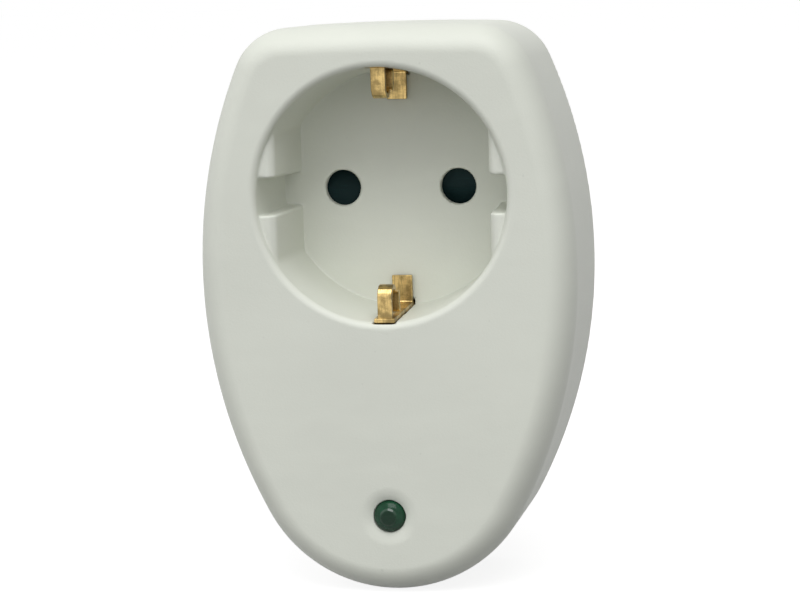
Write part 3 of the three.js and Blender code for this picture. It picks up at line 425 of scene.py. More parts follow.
def front_cover(p):
    x, y, z = p
    across, deep = sizes().edge_across / MM, sizes().edge_deep / MM
    r, rim = np.hypot(x, z), outline(x, z)
    inside, root, boss_back = FRONT + FRONT_WALL, FRONT + FRONT_WALL / 2, PLATE - 2.3
    rebate, gap = 0.9, 0.3
    shell = common(dome_edge(across, deep, FRONT, rim, y), y - BACK, radius=0.4)
    hollow = dome_edge(across - 1, deep, inside, rim + WALL, y)
    cover = carve(shell, hollow, common(rim + WALL - rebate, PLATE - gap - y))

    screw_boss, board_boss = 3.2, 2.6
    cover = join(cover, rod(p, CUP, root, FLOOR_BACK), radius=0.5)
    for place in SCREWS:
        cover = join(cover, rod(p, screw_boss, root, boss_back, *place), radius=0.4)
    for place in BOARD_POSTS:
        cover = join(cover, rod(p, board_boss, root, BOARD_FRONT - gap, *place), radius=0.4)

    # Taper is nought at the well's floor and one at its mouth
    taper = (FLOOR - y) / (FLOOR - FRONT)
    widening = (MOUTH - FLOOR_RADIUS) * taper
    well = common(r - FLOOR_RADIUS - widening, y - FLOOR, radius=0.2)
    cover = carve(cover, well, radius=sizes().well_edge / MM)
    guide_face, guide_reach, set_back, chamfer, slot_half = 16.3, 20.3, 1.2, 0.9, 2.7
    beyond = np.abs(x) - guide_face - 0.8 * taper
    ahead = y - FRONT - set_back
    corner = (chamfer - beyond - ahead) * math.sqrt(0.5)
    slot = slot_half + 0.3 * taper - np.abs(z)
    guide = common(-beyond, -ahead, corner, slot, radius=0.35)
    guide = common(guide, r - guide_reach, y - FLOOR_BACK + 0.5)
    cover = join(cover, guide, radius=0.3)

    axle, stop, stop_x, stop_z = 1.4, 1.3, 1.475, 8.2
    for size, post_x, post_z in ((axle, 0, 0), (stop, stop_x, stop_z), (stop, -stop_x, -stop_z)):
        post = rod(p, size, FLOOR_BACK - 0.8, HUB_BACK, post_x, post_z, radius=0.15)
        cover = join(cover, post)

    width = (-CLIP_HALF - CLIP_GAP, CLIP_HALF + CLIP_GAP)
    window_front, window_low, window_high, pilot_back = FRONT + 0.8, 18.15, 22.5, -36
    for side, place in zip((-1, 1), BOARD_POSTS):
        window = block((x, y, side * z), width, (window_front, FLOOR_BACK + PAST),
                       (window_low, window_high))
        cover = carve(cover, window, radius=CLIP_GAP)
        hole = rod(p, PIN_HOLE, FLOOR - PAST, FLOOR_BACK + PAST, side * PIN_X)
        cover = carve(cover, hole, radius=0.2)
        cover = carve(cover, rod(p, BOARD_SCREW_HOLE, inside, pilot_back, *place))
    for place in SCREWS:
        cover = carve(cover, rod(p, SCREW_HOLE, inside, boss_back + PAST, *place))

    dish_depth, dish_run, dish_reach, lamp_hole_back = sizes().dish_depth / MM, 1.35, 4.5, -41
    from_lamp = np.hypot(x, z - LAMP_Z)
    slope = dish_depth / dish_run
    dish = (y - FRONT - dish_depth + (from_lamp - LAMP_HOLE) * slope) / math.hypot(1, slope)
    cover = carve(cover, common(dish, from_lamp - dish_reach), radius=0.35)
    return carve(cover, common(from_lamp - LAMP_HOLE, y - lamp_hole_back), radius=0.1)


def rear_cover(p):
    x, y, z = p
    r, rim = np.hypot(x, z), outline(x, z)
    plate_edge, lip_edge, lip_inner, lip_front = 1.4, 2.3, 3.5, PLATE - 1.8
    plate = common(rim + plate_edge, slab(y, PLATE, BACK), radius=0.3)
    lip = common(rim + lip_edge, -rim - lip_inner, slab(y, lip_front, PLATE + 1), radius=0.12)
    rib_half = 2.3
    body = common(r - PLUG_RADIUS, y, radius=1.2)
    flats = join(np.abs(x) - PLUG_FLAT, np.abs(z) - rib_half)
    body = common(common(body, flats, radius=0.4), PLATE - y)
    cover = join(join(plate, lip), body, radius=0.4)
    seat, head, head_front = 3.4, 3.1, -19.4
    for place in SCREWS:
        cover = join(cover, rod(p, seat, PLATE - 2, PLATE + 1, *place))
    core_radius, core_half, channel_half, channel_inner = 16.4, 13.9, 4.3, 12.5
    core = common(r - core_radius, np.abs(x) - core_half, y - PLUG_INNER, radius=0.5)
    core = carve(core, common(np.abs(x) - channel_half, channel_inner - np.abs(z)))
    cover = carve(cover, core)
    width, bed, pin_bore = (-GROOVE_HALF, GROOVE_HALF), 14.5, 2.7
    for side in (-1, 1):
        q = (x, y, side * z)
        groove = block(q, width, (BACK + 0.1, PAST), (bed, PLUG_RADIUS + 0.4))
        hook = block(q, width, (-1.5, PAST), (12.4, 22))
        slot = block(q, width, (PLATE - PAST, BACK + 1), (bed, 15.9))
        cover = carve(cover, join(groove, hook, slot), radius=0.12)
        bore = rod(p, pin_bore, PLUG_INNER - PAST, PAST, side * PIN_X)
        cover = carve(cover, bore, radius=0.2)
    for place in SCREWS:
        pocket = rod(p, head, head_front, BACK + PAST, *place)
        shank = rod(p, SCREW_HOLE, PLATE - 4, BACK + PAST, *place)
        cover = carve(cover, join(pocket, shank), radius=0.15)
    return cover


def shutter(p):
    """Two blades on an arm, each with a ramp for a pin, and a hub with the spring's peg."""
    x, y, z = p
    blade, arm_half, hub, bore = 3.9, 2.5, 2.6, 1.7
    thick = (SHUTTER_FRONT, SHUTTER_BACK)
    arm = block(p, (-PIN_X, PIN_X), thick, (-arm_half, arm_half), radius=0.15)
    blades = [rod(p, blade, *thick, side * PIN_X, radius=0.15) for side in (-1, 1)]
    boss = rod(p, hub, SHUTTER_FRONT, HUB_BACK, radius=0.15)
    peg = rod(p, 0.5, SHUTTER_BACK - 0.5, HUB_BACK, -7, -2.275, radius=0.1)
    whole = join(arm, *blades, boss, peg)
    whole = carve(whole, rod(p, bore, SHUTTER_FRONT - PAST, HUB_BACK + PAST), radius=0.12)
    ramp_depth, ramp_run, ramp_end, lean = 1.1, 3.2, 5.9, 0.945
    ahead = y - SHUTTER_FRONT
    for side in (-1, 1):
        slope = (ahead + side * z * ramp_depth / ramp_run) * lean
        ramp = common(slope, ahead - ramp_depth, ramp_end - side * x, side * z)
        whole = carve(whole, ramp, radius=0.12)
    return whole


def bent_strip(p, path, radii, width, radius=0.12):
    """A stamped strip along a path in (y, z)."""
    strip = along(p[1], p[2], rounded_path(path, radii)) - CLIP_THICK / 2
    return common(strip, np.abs(p[0]) - width, radius=radius)


def earth_clip(p, nose, foot):
    """A broad plate along the well's wall, a tail to the earth bar and a narrow bent nose.

    nose and foot are the distances of their inner faces from the socket's axis.
    """
    x, y, z = p
    root, leg, end = FLOOR - 0.7, FRONT + 2, FRONT + 1.1
    half = CLIP_THICK / 2
    foot_line, nose_line, low = foot + half, nose + half, 14.25
    nose_half, bend = 1.15, 1.75
    path = [(root, low), (root, 19.05), (end, foot_line)]
    plate = bent_strip(p, path, [0.7], CLIP_HALF)
    plate = common(plate, end - y, low - z, radius=0.12)
    corner = (0.7 - CLIP_HALF - x - (y - end)) * math.sqrt(0.5)
    plate = common(plate, join(corner, foot - CLIP_THICK - z), radius=0.1)
    tail = block(p, (-CLIP_HALF, CLIP_HALF), (root, -20.8), (18.65, 19.45), radius=0.12)
    path = [(leg, foot_line), (leg, nose_line), (leg + 3.5, nose_line), (leg + 4, foot_line - 1.3)]
    strip = along(y, z, rounded_path(path, [bend, bend])) - half
    strip = common(strip, z - foot_line)
    narrow = common(strip, np.abs(x) - nose_half, radius=0.12)
    neck = (leg + bend - y, nose_line + CLIP_THICK - z)
    wide = common(strip, np.abs(x) - CLIP_HALF, *neck, radius=0.12)
    return join(plate, tail, narrow, wide)


def earth_strip(p):
    hook, lying, front, back = 12.7, 15.2, -19.4, -0.8
    strip = bent_strip(p, [(back, hook), (back, lying), (front, lying)], [0.7], 2)
    return common(strip, hook - p[2], front - p[1], radius=0.12)


def earth_bar(p):
    x, y, z = p
    low, high, half = -22.4, 18.2, 2
    spine = np.hypot(x, z - np.clip(z, low, high)) - half
    return common(spine, slab(y, -20.5, -19.7), radius=0.12)


def contact(p, side):
    """A folded fork that grips a plug's pin, riveted on its own pin, with a tag for a wire."""
    x, y, z = p[0] - side * PIN_X, p[1], p[2]
    mouth, throat, base, sheet, rivet_hole = -20.15, -16.55, -4.55, 0.35, 1.6
    path = [(mouth, 3.85), (throat, 2.55), (base, 3.65), (base, -3.65), (throat, -2.55),
            (mouth, -3.85)]
    fork = along(y, z, rounded_path(path, [0.9, 0.6, 0.6, 0.9])) - sheet
    fork = common(fork, np.abs(x) - 2.5, mouth - y, radius=0.12)
    back = (base - sheet, base + sheet)
    tag = block((-side * x, y, z), (2.15, 4.7), back, (-9, 1.1), radius=0.12)
    hole = np.hypot(x, z) - rivet_hole
    return carve(join(fork, tag), common(hole, -6 - y), radius=0.1)


def contact_carrier(p):
    """An insulating web with two towers round the contacts, open towards the plug."""
    x, y, z = p
    half, front, web_back, back, round_end = 13.6, -21.9, -20.8, -2.7, 16.1
    web = block(p, (-half, half), (front, web_back), (-9.6, 9.6), radius=0.2)
    towers = block(p, (-half, half), (front, back), (-6.2, 6.2), radius=0.2)
    whole = join(web, common(towers, np.hypot(x, z) - round_end), radius=0.2)
    cuts = [block(p, (-2.3, 2.3), (web_back, 0), (-17, 17))]
    for side in (-1, 1):
        q = (side * x, y, z)
        cuts.append(rod(p, PIN_HOLE, -23, -19, side * PIN_X))
        cuts.append(block(q, (6.2, 12.8), (web_back, 0), (-4.7, 4.7)))
        cuts.append(block(q, (4.5, 7.65), (-5.2, 0), (-8, 1.4)))
    return carve(whole, *cuts, radius=0.12)


def lamp_spacer(p):
    disc = rod(p, 2.95, -38.5, -37.3, 0, LAMP_Z, radius=0.15)
    holes = [rod(p, LEAD_HOLE, -40, -36, side * LEAD_X, LAMP_Z) for side in (-1, 1)]
    return carve(disc, *holes, radius=0.1)


def circuit_board(p):
    x, y, z = p
    half, bottom, top, slant_top, slant_in = 18, -53.4, -23.2, -43, 7.5
    slant = half - (slant_top - z) * slant_in / (slant_top - bottom)
    side = np.abs(x) - np.where(z > slant_top, half, slant)
    plan = common(side, slab(z, bottom, top), radius=0.4)
    plate = common(plan, slab(y, BOARD_FRONT, BOARD_BACK), radius=0.08)
    front, back = BOARD_FRONT - 3, BOARD_BACK + 2.4
    holes = [rod(p, BOARD_SCREW_HOLE, front, back, *place) for place in BOARD_POSTS]
    holes += [rod(p, LEAD_HOLE, front, back, side * LEAD_X, LAMP_Z) for side in (-1, 1)]
    return carve(plate, *holes, radius=0.08)


def capacitor(p):
    return block(p, (1.6, 13.6), (-34.1, -25.1), (-42.85, -38.35), radius=0.6)


def screw(p, place, size):
    """A self-tapping screw with a crossed drive, the top of its head at that place."""
    shank, head, height, length, pitch = size
    x, y, z = p[0] - place[0], p[1] - place[1], p[2] - place[2]
    r = np.hypot(x, z)
    turn = np.arctan2(z, x) / (2 * math.pi)
    phase = np.abs((y / pitch + turn) % 1 - 0.5) * 2
    tip = np.clip((y + height + length) / (2 * shank), 0.25, 1)
    root_share, slack = 0.78, 0.8
    thread = (r - shank * tip * (root_share + (1 - root_share) * (1 - phase) ** 2)) * slack
    body = common(thread, slab(y, -height - length, -height + 0.1))
    flat_share, crown, fall = 0.72, 0.9, 0.72
    domed = (r - head * flat_share + y * crown) * fall
    top = common(r - head, slab(y, -height, 0), domed, radius=0.1)
    reach, half, depth = 0.62 * head, 0.15 * head, 0.75 * height
    arms = [
        common(np.abs(u) - reach - 0.3 * y, np.abs(v) - half - 0.08 * y)
        for u, v in ((x, z), (z, x))
    ]
    return carve(join(body, top, radius=0.1), common(join(*arms), -depth - y), radius=0.06)


# Other pieces

def strung(points, steps=8):
    """A smooth route through points, at an even pace between each two."""
    spots = [Vector(p) for p in points]
    spots = [2 * spots[0] - spots[1], *spots, 2 * spots[-1] - spots[-2]]
    route = []
    for a, b, c, d in zip(spots, spots[1:], spots[2:], spots[3:]):
        knots = [0.0]
        for p, q in ((a, b), (b, c), (c, d)):
            knots.append(knots[-1] + max((q - p).length, 1e-6) ** 0.5)
        for i in range(steps):
            t = knots[1] + (knots[2] - knots[1]) * i / steps

            def between(p, q, t0, t1):
                return p.lerp(q, (t - t0) / (t1 - t0))

            first = between(a, b, knots[0], knots[1])
            middle = between(b, c, knots[1], knots[2])
            last = between(c, d, knots[2], knots[3])
            first = between(first, middle, knots[0], knots[2])
            last = between(middle, last, knots[1], knots[3])
            route.append(between(first, last, knots[1], knots[2]))
    return [*route, spots[-2]]


def round_wire(name, route, radius, steps=4):
    """A closed round wire along a route."""
    curve = bpy.data.curves.new(name, "CURVE")
    curve.dimensions = "3D"
    curve.bevel_depth = radius * MM
    curve.bevel_resolution = steps
    curve.use_fill_caps = True
    spline = curve.splines.new("POLY")
    spline.points.add(len(route) - 1)
    for spot, place in zip(spline.points, route):
        spot.co = (*(Vector(place) * MM), 1)
    carrier = bpy.data.objects.new(name, curve)
    bpy.context.scene.collection.objects.link(carrier)
    depsgraph = bpy.context.evaluated_depsgraph_get()
    mesh = bpy.data.meshes.new_from_object(carrier.evaluated_get(depsgraph))
    bpy.data.objects.remove(carrier)
    bpy.data.curves.remove(curve)
    mesh.name = name
    mesh.shade_smooth()
    mesh.set_sharp_from_angle(angle=math.radians(50))
    return mesh


def joined(name, *meshes):
    """Several meshes as one, each with its own material."""
    bm = bmesh.new()
    materials = []
    for mesh in meshes:
        before = len(bm.faces)
        bm.from_mesh(mesh)
        bm.faces.ensure_lookup_table()
        for material in mesh.materials:
            if material not in materials:
                materials.append(material)
        if mesh.materials:
            for face in bm.faces[before:]:
                face.material_index = materials.index(mesh.materials[0])
    whole = bpy.data.meshes.new(name)
    bm.to_mesh(whole)
    bm.free()
    for material in materials:
        whole.materials.append(material)
    for mesh in meshes:
        bpy.data.meshes.remove(mesh)
    return whole


def dipped(mesh, finish):
    """The mesh with that material."""
    mesh.materials.append(finish)
    return mesh


def pin_profile():
    """A plug's pin with its riveted stub, its collar and a rounded tip."""
    rivet = [(0, -6.1), (1.2, -6.05), (1.8, -5.75), (2, -5.35), (2, -5.2), (1.3, -5.2)]
    collar = [(1.3, -3.9), (3, -3.9), (3, -2.7), (2.4, -2.7)]
    size, length, round_share, round_length, steps = 2.4, 19, 0.55, 1.9, 10
    tip = [
        (size - size * round_share * (1 - math.cos(lean)),
         length - round_length * (1 - math.sin(lean)))
        for lean in (math.pi / 2 * i / steps for i in range(steps + 1))
    ]
    return [*rivet, *soft_profile(collar, 0.12), (size, 0), (size, 8), *tip, (0, length)]


def lamp_profile():
    """A dome with a raised round middle, down to the flange at its back."""
    tip, back, size, middle = FRONT - LAMP_PROUD, FRONT + 6.6, 2.5, 1.2

    def dome(lean, lift):
        return size * math.sin(lean), tip + lift + 1.5 * (1 - math.cos(lean))

    edge = math.asin(middle / size)
    inner = [dome(edge * i / 8, 0) for i in range(9)]
    outer = [dome(edge + 0.07 + (math.pi / 2 - edge - 0.07) * i / 14, 0.16) for i in range(15)]
    foot = soft_profile([(size, back - 3), (size, back - 1), (2.95, back - 1), (2.95, back),
                         (0, back)], 0.12)
    return [*inner, *outer, *foot]


def shutter_spring():
    """A fixed leg, one turn and a quarter round the hub, and a free leg."""
    start = SHUTTER_BACK + 0.1 + SPRING_WIRE
    legs, radius, pitch, turns = 7.5, 3.3, 0.9, 1.25
    coil = [
        (radius * math.cos(turn), start + pitch * turns * share, radius * math.sin(turn))
        for share, turn in ((i / 60, -2 * math.pi * turns * i / 60) for i in range(61))
    ]
    fixed = [(radius, start, legs * (1 - i / 6)) for i in range(6)]
    free = [(-legs * i / 6, start + pitch * turns, -radius) for i in range(1, 7)]
    return [*fixed, *coil, *free]


# Shader nodes

def arithmetic(operation, swapped=False):
    """A method for Socket that adds one Math node, for its reflected form with sides swapped."""
    def method(self, other):
        first, second = (other, self) if swapped else (self, other)
        settings = {"operation": operation}
        return self.maker.node("Math", settings, Value=first, Value_001=second)
    return method


class Socket:
    """A node's output, on which arithmetic adds Math nodes."""

    def __init__(self, maker, outlet):
        self.maker, self.outlet = maker, outlet

    __add__, __radd__ = arithmetic("ADD"), arithmetic("ADD", True)
    __sub__, __rsub__ = arithmetic("SUBTRACT"), arithmetic("SUBTRACT", True)
    __mul__, __rmul__ = arithmetic("MULTIPLY"), arithmetic("MULTIPLY", True)
    __pow__, __rpow__ = arithmetic("POWER"), arithmetic("POWER", True)

    def __abs__(self):
        return self.maker.node("Math", {"operation": "ABSOLUTE"}, Value=self)

    def step(self, low, high):
        """Nought at low, one at high, and smooth between."""
        settings = {"interpolation_type": "SMOOTHSTEP"}
        values = {"Value": self, "From_Min": low, "From_Max": high}
        return self.maker.node("MapRange", settings, **values)


class Nodes:
    """Adds nodes to one tree."""

    def __init__(self, tree):
        self.tree = tree

    def node(self, kind, settings=None, outlet=0, **values):
        """A node of a type: its settings first, then its sockets' values or links."""
        node = self.tree.nodes.new("ShaderNode" + kind)
        for key, value in (settings or {}).items():
            setattr(node, key, value)
        for key, value in values.items():
            self.feed(node, key, value)
        return Socket(self, node.outputs[outlet])

    def feed(self, node, key, value):
        """Links a socket to a node's input, or sets the input's own value."""
        for slot in node.inputs:
            if slot.enabled and key in (slot.identifier, slot.name.replace(" ", "_")):
                break
        else:
            raise ValueError(f"{node.name} has no input {key}")
        if isinstance(value, Socket):
            self.tree.links.new(value.outlet, slot)
        elif slot.type == "RGBA":
            slot.default_value = (*value[:3], 1)
        else:
            slot.default_value = value


class Finish(Nodes):
    """One material round a Principled shader, with places in millimetres."""

    def __init__(self, name, **constants):
        self.material = bpy.data.materials.new(name)
        self.material.use_nodes = True
        super().__init__(self.material.node_tree)
        self.shader = self.tree.nodes["Principled BSDF"]
        self.set(**constants)
        rest = self.node("TexCoord", None, 3)
        self.place = self.node("VectorMath", {"operation": "SCALE"}, Vector=rest, Scale=1 / MM)

    def set(self, **values):
        for key, value in values.items():
            self.feed(self.shader, key, value)
        return self

    def noise(self, scale, detail=2.0, rough=0.5, stretch=None):
        """Noise with about that many features to a millimetre, squeezed by stretch."""
        place = self.place
        if stretch:
            settings = {"operation": "MULTIPLY"}
            place = self.node("VectorMath", settings, Vector=place, Vector_001=stretch)
        return self.node("TexNoise", Vector=place, Scale=scale, Detail=detail, Roughness=rough)

    def axis(self, name):
        """One coordinate in millimetres."""
        return self.node("SeparateXYZ", None, "XYZ".index(name), Vector=self.place)

    def mix(self, share, first, second):
        """A colour between two."""
        values = {"Factor_Float": share, "A_Color": first, "B_Color": second}
        return self.node("Mix", {"data_type": "RGBA"}, 2, **values)

    def bump(self, *layers):
        """Raises the surface by each height times its depth in millimetres."""
        normal = None
        for height, depth in layers:
            values = {"Height": height, "Distance": depth * MM}
            if normal:
                values["Normal"] = normal
            normal = self.node("Bump", None, 0, **values)
        return self.set(Normal=normal)


def colour(red, green, blue):
    """A colour written in 0 to 255, as a shader takes it."""
    shares = (value / 255 for value in (red, green, blue))
    return tuple(v / 12.92 if v <= 0.04045 else ((v + 0.055) / 1.055) ** 2.4 for v in shares)


def shade(tone, factor):
    """A colour made darker or lighter."""
    return tuple(min(channel * factor, 1.0) for channel in tone[:3])


def tones():
    return bpy.context.scene.adapter_colours


def moulded_white():
    """Housing plastic: a fine eroded grain, faint flow marks and a few dust specks."""
    base = tones().housing
    f = Finish("moulded_white", IOR=1.46)
    cloud = f.noise(0.03, 3)
    flow = f.noise(0.1, 2, stretch=(1, 0.3, 2.4))
    grain = f.noise(2.6, 3, 0.65)
    speck = f.noise(0.8, 1).step(0.79, 0.84)
    tone = f.mix(cloud.step(0.35, 0.65), base, shade(base, 0.965))
    tone = f.mix(flow.step(0.45, 0.75) * 0.3, tone, shade(base, 1.04))
    tone = f.mix(speck * 0.3, tone, shade(base, 0.72))
    f.bump((flow, 0.05), (grain, 0.03))
    return f.set(Base_Color=tone, Roughness=0.44 + grain * 0.1).material


def moulded_dark():
    """Shutter plastic: a fine grain, and rub marks where pins have slid."""
    base = tones().shutter
    f = Finish("moulded_dark", IOR=1.5, Specular_IOR_Level=0.15)
    grain = f.noise(5, 3)
    rub = f.noise(2, 2, stretch=(0.2, 1, 1.6))
    tone = f.mix(rub.step(0.5, 0.8) * 0.5, base, shade(base, 1.9))
    f.bump((grain, 0.012), (rub, 0.01))
    return f.set(Base_Color=tone, Roughness=0.5 + rub * 0.2).material


def stamped_brass():
    """Brass strip: rolling lines along the strip, warm tarnish, pits and fine scratches."""
    base = tones().brass
    f = Finish("stamped_brass", Metallic=1.0)
    rolled = f.noise(1.6, 3, stretch=(3.4, 0.25, 0.25))
    scratch = f.noise(1.0, 4, 0.7, stretch=(0.5, 2.2, 4))
    tarnish = f.noise(0.5, 4, 0.6)
    pits = f.noise(4, 2)
    tone = f.mix(tarnish.step(0.4, 0.66), base, shade(base, 0.42))
    tone = f.mix(rolled.step(0.5, 0.68) * 0.6, tone, shade(base, 0.36))
    tone = f.mix(scratch.step(0.55, 0.75) * 0.5, tone, shade(base, 0.22))
    f.bump((rolled, 0.035), (scratch, 0.012), (pits, 0.008))
    return f.set(Base_Color=tone, Roughness=0.16 + tarnish * 0.2 + rolled * 0.1).material


def nickel_plate():
    """Plug pins and earth strips: bright plate with turning lines, rubbed by sockets."""
    base = tones().nickel
    f = Finish("nickel_plate", Metallic=1.0)
    rings = f.noise(2.2, 3, stretch=(0.15, 4, 0.15))
    rubbed = f.noise(1.1, 3, stretch=(3, 0.12, 3))
    bloom = f.noise(0.35, 3)
    tone = f.mix(bloom.step(0.3, 0.7), base, shade(base, 0.8))
    tone = f.mix(rubbed.step(0.55, 0.8) * 0.5, tone, shade(base, 0.62))
    f.bump((rings, 0.01), (rubbed, 0.008))
    return f.set(Base_Color=tone, Roughness=0.16 + rings * 0.12 + bloom * 0.1).material


def zinc_plate():
    """Screws and leads: bright zinc with a patchy yellow and grey bloom."""
    base = tones().zinc
    f = Finish("zinc_plate", Metallic=1.0)
    patch = f.noise(0.9, 4, 0.6)
    fine = f.noise(6, 2)
    tone = f.mix(patch.step(0.35, 0.7), base, shade(base, 0.7))
    f.bump((fine, 0.008), (patch, 0.01))
    return f.set(Base_Color=tone, Roughness=0.24 + patch * 0.2).material


def spring_wire():
    """Drawn steel wire with lengthwise dull streaks."""
    base = tones().steel
    f = Finish("spring_wire", Metallic=1.0)
    drawn = f.noise(3, 3, 0.6)
    tone = f.mix(drawn.step(0.4, 0.75), base, shade(base, 0.6))
    f.bump((drawn, 0.006))
    return f.set(Base_Color=tone, Roughness=0.22 + drawn * 0.2).material


def lamp_glass():
    """Dark green resin: deeper in its middle, slightly swirled, with a painted highlight: a gloss
    coat on the upper half of the step round the middle only.
    """
    base = tones().lamp
    constants = {"IOR": 1.5, "Transmission_Weight": 0.25, "Specular_IOR_Level": 0.12}
    f = Finish("lamp_glass", Coat_Roughness=0.06, **constants)
    swirl = f.noise(0.7, 3)
    fine = f.noise(3, 2)
    x, z = f.axis("X"), f.axis("Z") - LAMP_Z
    from_axis = (x * x + z * z) ** 0.5
    # Painted highlight: the ring's coat is masked to the step's upper half, so a bright arc shows
    # on top only
    ring = from_axis.step(1.0, 1.2) * (1 - from_axis.step(1.35, 1.5)) * z.step(0.1, 0.9)
    tone = f.mix(swirl.step(0.35, 0.7), base, shade(base, 1.35))
    tone = f.mix(1 - from_axis.step(0.9, 1.5), tone, shade(base, 0.62))
    f.bump((fine, 0.003), (swirl, 0.01))
    # The ring's coat weight paints that highlight arc; the rest of the lens has a faint even coat
    values = {"Roughness": 0.14 + fine * 0.06, "Coat_Weight": ring * 0.8 + 0.03}
    return f.set(Base_Color=tone, **values).material


def black_plastic():
    base = tones().black
    f = Finish("black_plastic", IOR=1.5)
    grain = f.noise(4, 3)
    cloud = f.noise(0.4, 2)
    tone = f.mix(cloud.step(0.3, 0.7), base, shade(base, 1.7))
    f.bump((grain, 0.015))
    return f.set(Base_Color=tone, Roughness=0.4 + grain * 0.15).material


def carrier_plastic():
    """Heat-proof cream plastic, a little glassy, with a coarse grain."""
    base = tones().carrier
    f = Finish("carrier_plastic", IOR=1.5)
    grain = f.noise(1.8, 3)
    cloud = f.noise(0.15, 3)
    tone = f.mix(cloud.step(0.3, 0.7), base, shade(base, 0.88))
    f.bump((grain, 0.03))
    return f.set(Base_Color=tone, Roughness=0.5 + grain * 0.12).material


def board_laminate():
    """Paper laminate: a mottled brown with short fibres, and a lacquer over it."""
    base = tones().board
    f = Finish("board_laminate", IOR=1.5, Coat_Weight=0.2)
    fibre = f.noise(2.2, 3, 0.6, stretch=(0.5, 1, 2))
    mottle = f.noise(0.35, 3)
    tone = f.mix(mottle.step(0.3, 0.7), base, shade(base, 0.78))
    tone = f.mix(fibre.step(0.5, 0.75) * 0.4, tone, shade(base, 1.35))
    f.bump((fibre, 0.02))
    return f.set(Base_Color=tone, Roughness=0.42 + fibre * 0.15).material


def dipped_coat(name, base):
    """A dipped or painted coat, with its orange-peel surface and darker pools."""
    f = Finish(name, IOR=1.5)
    peel = f.noise(1.3, 2)
    pool = f.noise(0.5, 3)
    tone = f.mix(pool.step(0.35, 0.7), base, shade(base, 0.72))
    f.bump((peel, 0.06))
    return f.set(Base_Color=tone, Roughness=0.32 + pool * 0.18).material


def banded_coat(name, base, centre, bands):
    """A dipped coat with painted rings at places along X, each (place, half width, colour)."""
    f = Finish(name, IOR=1.5)
    peel = f.noise(1.6, 2)
    wave = f.noise(1.2, 2)
    tone = f.mix(peel.step(0.35, 0.7), base, shade(base, 0.8))
    along_body = f.axis("X") - centre + (wave - 0.5) * 0.2
    for place, half, band in bands:
        mask = 1 - abs(along_body - place).step(half - 0.08, half + 0.08)
        tone = f.mix(mask, tone, band)
    f.bump((peel, 0.04))
    return f.set(Base_Color=tone, Roughness=0.34 + peel * 0.14).material


def insulation(name, base, stripe=None):
    """Soft wire insulation with a matt skin, and a second colour along it if it has one."""
    f = Finish(name, IOR=1.5)
    skin = f.noise(2.4, 3)
    scuff = f.noise(0.8, 3).step(0.6, 0.8)
    tone = f.mix(scuff * 0.35, base, shade(base, 1.4))
    if stripe:
        side = (f.axis("X") + (skin - 0.5) * 0.12).step(-0.05, 0.05)
        tone = f.mix(side, tone, stripe)
    f.bump((skin, 0.02))
    return f.set(Base_Color=tone, Roughness=0.45 + skin * 0.12).material


def solder_metal():
    f = Finish("solder_metal", Metallic=1.0)
    cloud = f.noise(1.5, 3)
    tone = f.mix(cloud, colour(196, 198, 200), colour(150, 152, 154))
    f.bump((cloud, 0.03))
    return f.set(Base_Color=tone, Roughness=0.28 + cloud * 0.2).material


def copper_metal():
    f = Finish("copper_metal", Metallic=1.0)
    cloud = f.noise(1.2, 3)
    tone = f.mix(cloud.step(0.35, 0.7), colour(214, 140, 96), colour(160, 92, 58))
    f.bump((cloud, 0.02))
    return f.set(Base_Color=tone, Roughness=0.26 + cloud * 0.2).material


FINISHES = {
    make.__name__: make
    for make in (
        moulded_white, moulded_dark, stamped_brass, nickel_plate, zinc_plate, spring_wire,
        lamp_glass, black_plastic, carrier_plastic, board_laminate, solder_metal,
        copper_metal,
    )
}


def finish(name, make=None, *details):
    """A finish by name, made with its details the first time that a piece asks for it."""
    made = bpy.data.materials.get(name)
    return made or (make(name, *details) if make else FINISHES[name]())


# Sizes and colours that a user would change

class AdapterSizes(bpy.types.PropertyGroup):
    edge_across: FloatProperty(
        name="Edge roll across", description="How far the front's rolled edge reaches inwards",
        default=0.0044, min=0.002, max=0.006, subtype="DISTANCE", unit="LENGTH")
    edge_deep: FloatProperty(
        name="Edge roll depth", description="How far the front's rolled edge reaches back",
        default=0.0059, min=0.002, max=0.008, subtype="DISTANCE", unit="LENGTH")
    well_edge: FloatProperty(
        name="Well edge", description="Radius of the edge round the socket's well",
        default=0.0011, min=0.0003, max=0.0014, subtype="DISTANCE", unit="LENGTH")
    dish_depth: FloatProperty(
        name="Dish depth", description="Depth of the shallow dish round the lamp",
        default=0.0006, min=0.0002, max=0.0009, subtype="DISTANCE", unit="LENGTH")
    thread_pitch: FloatProperty(
        name="Thread pitch", description="Rise of the housing screws' thread for each turn",
        default=0.0013, min=0.0008, max=0.002, subtype="DISTANCE", unit="LENGTH")
    cover_cell: FloatProperty(
        name="Cover cell", description="Mesh size from which the covers are thinned",
        default=0.0004, min=0.0003, max=0.001, subtype="DISTANCE", unit="LENGTH")
    cover_share: FloatProperty(
        name="Cover faces", description="Share of the covers' faces kept when they are thinned",
        default=0.22, min=0.05, max=1, subtype="FACTOR")


def tint(name, description, red, green, blue):
    """A colour property, its default written in 0 to 255."""
    return FloatVectorProperty(
        name=name, description=description, default=colour(red, green, blue), min=0, max=1,
        size=3, subtype="COLOR")


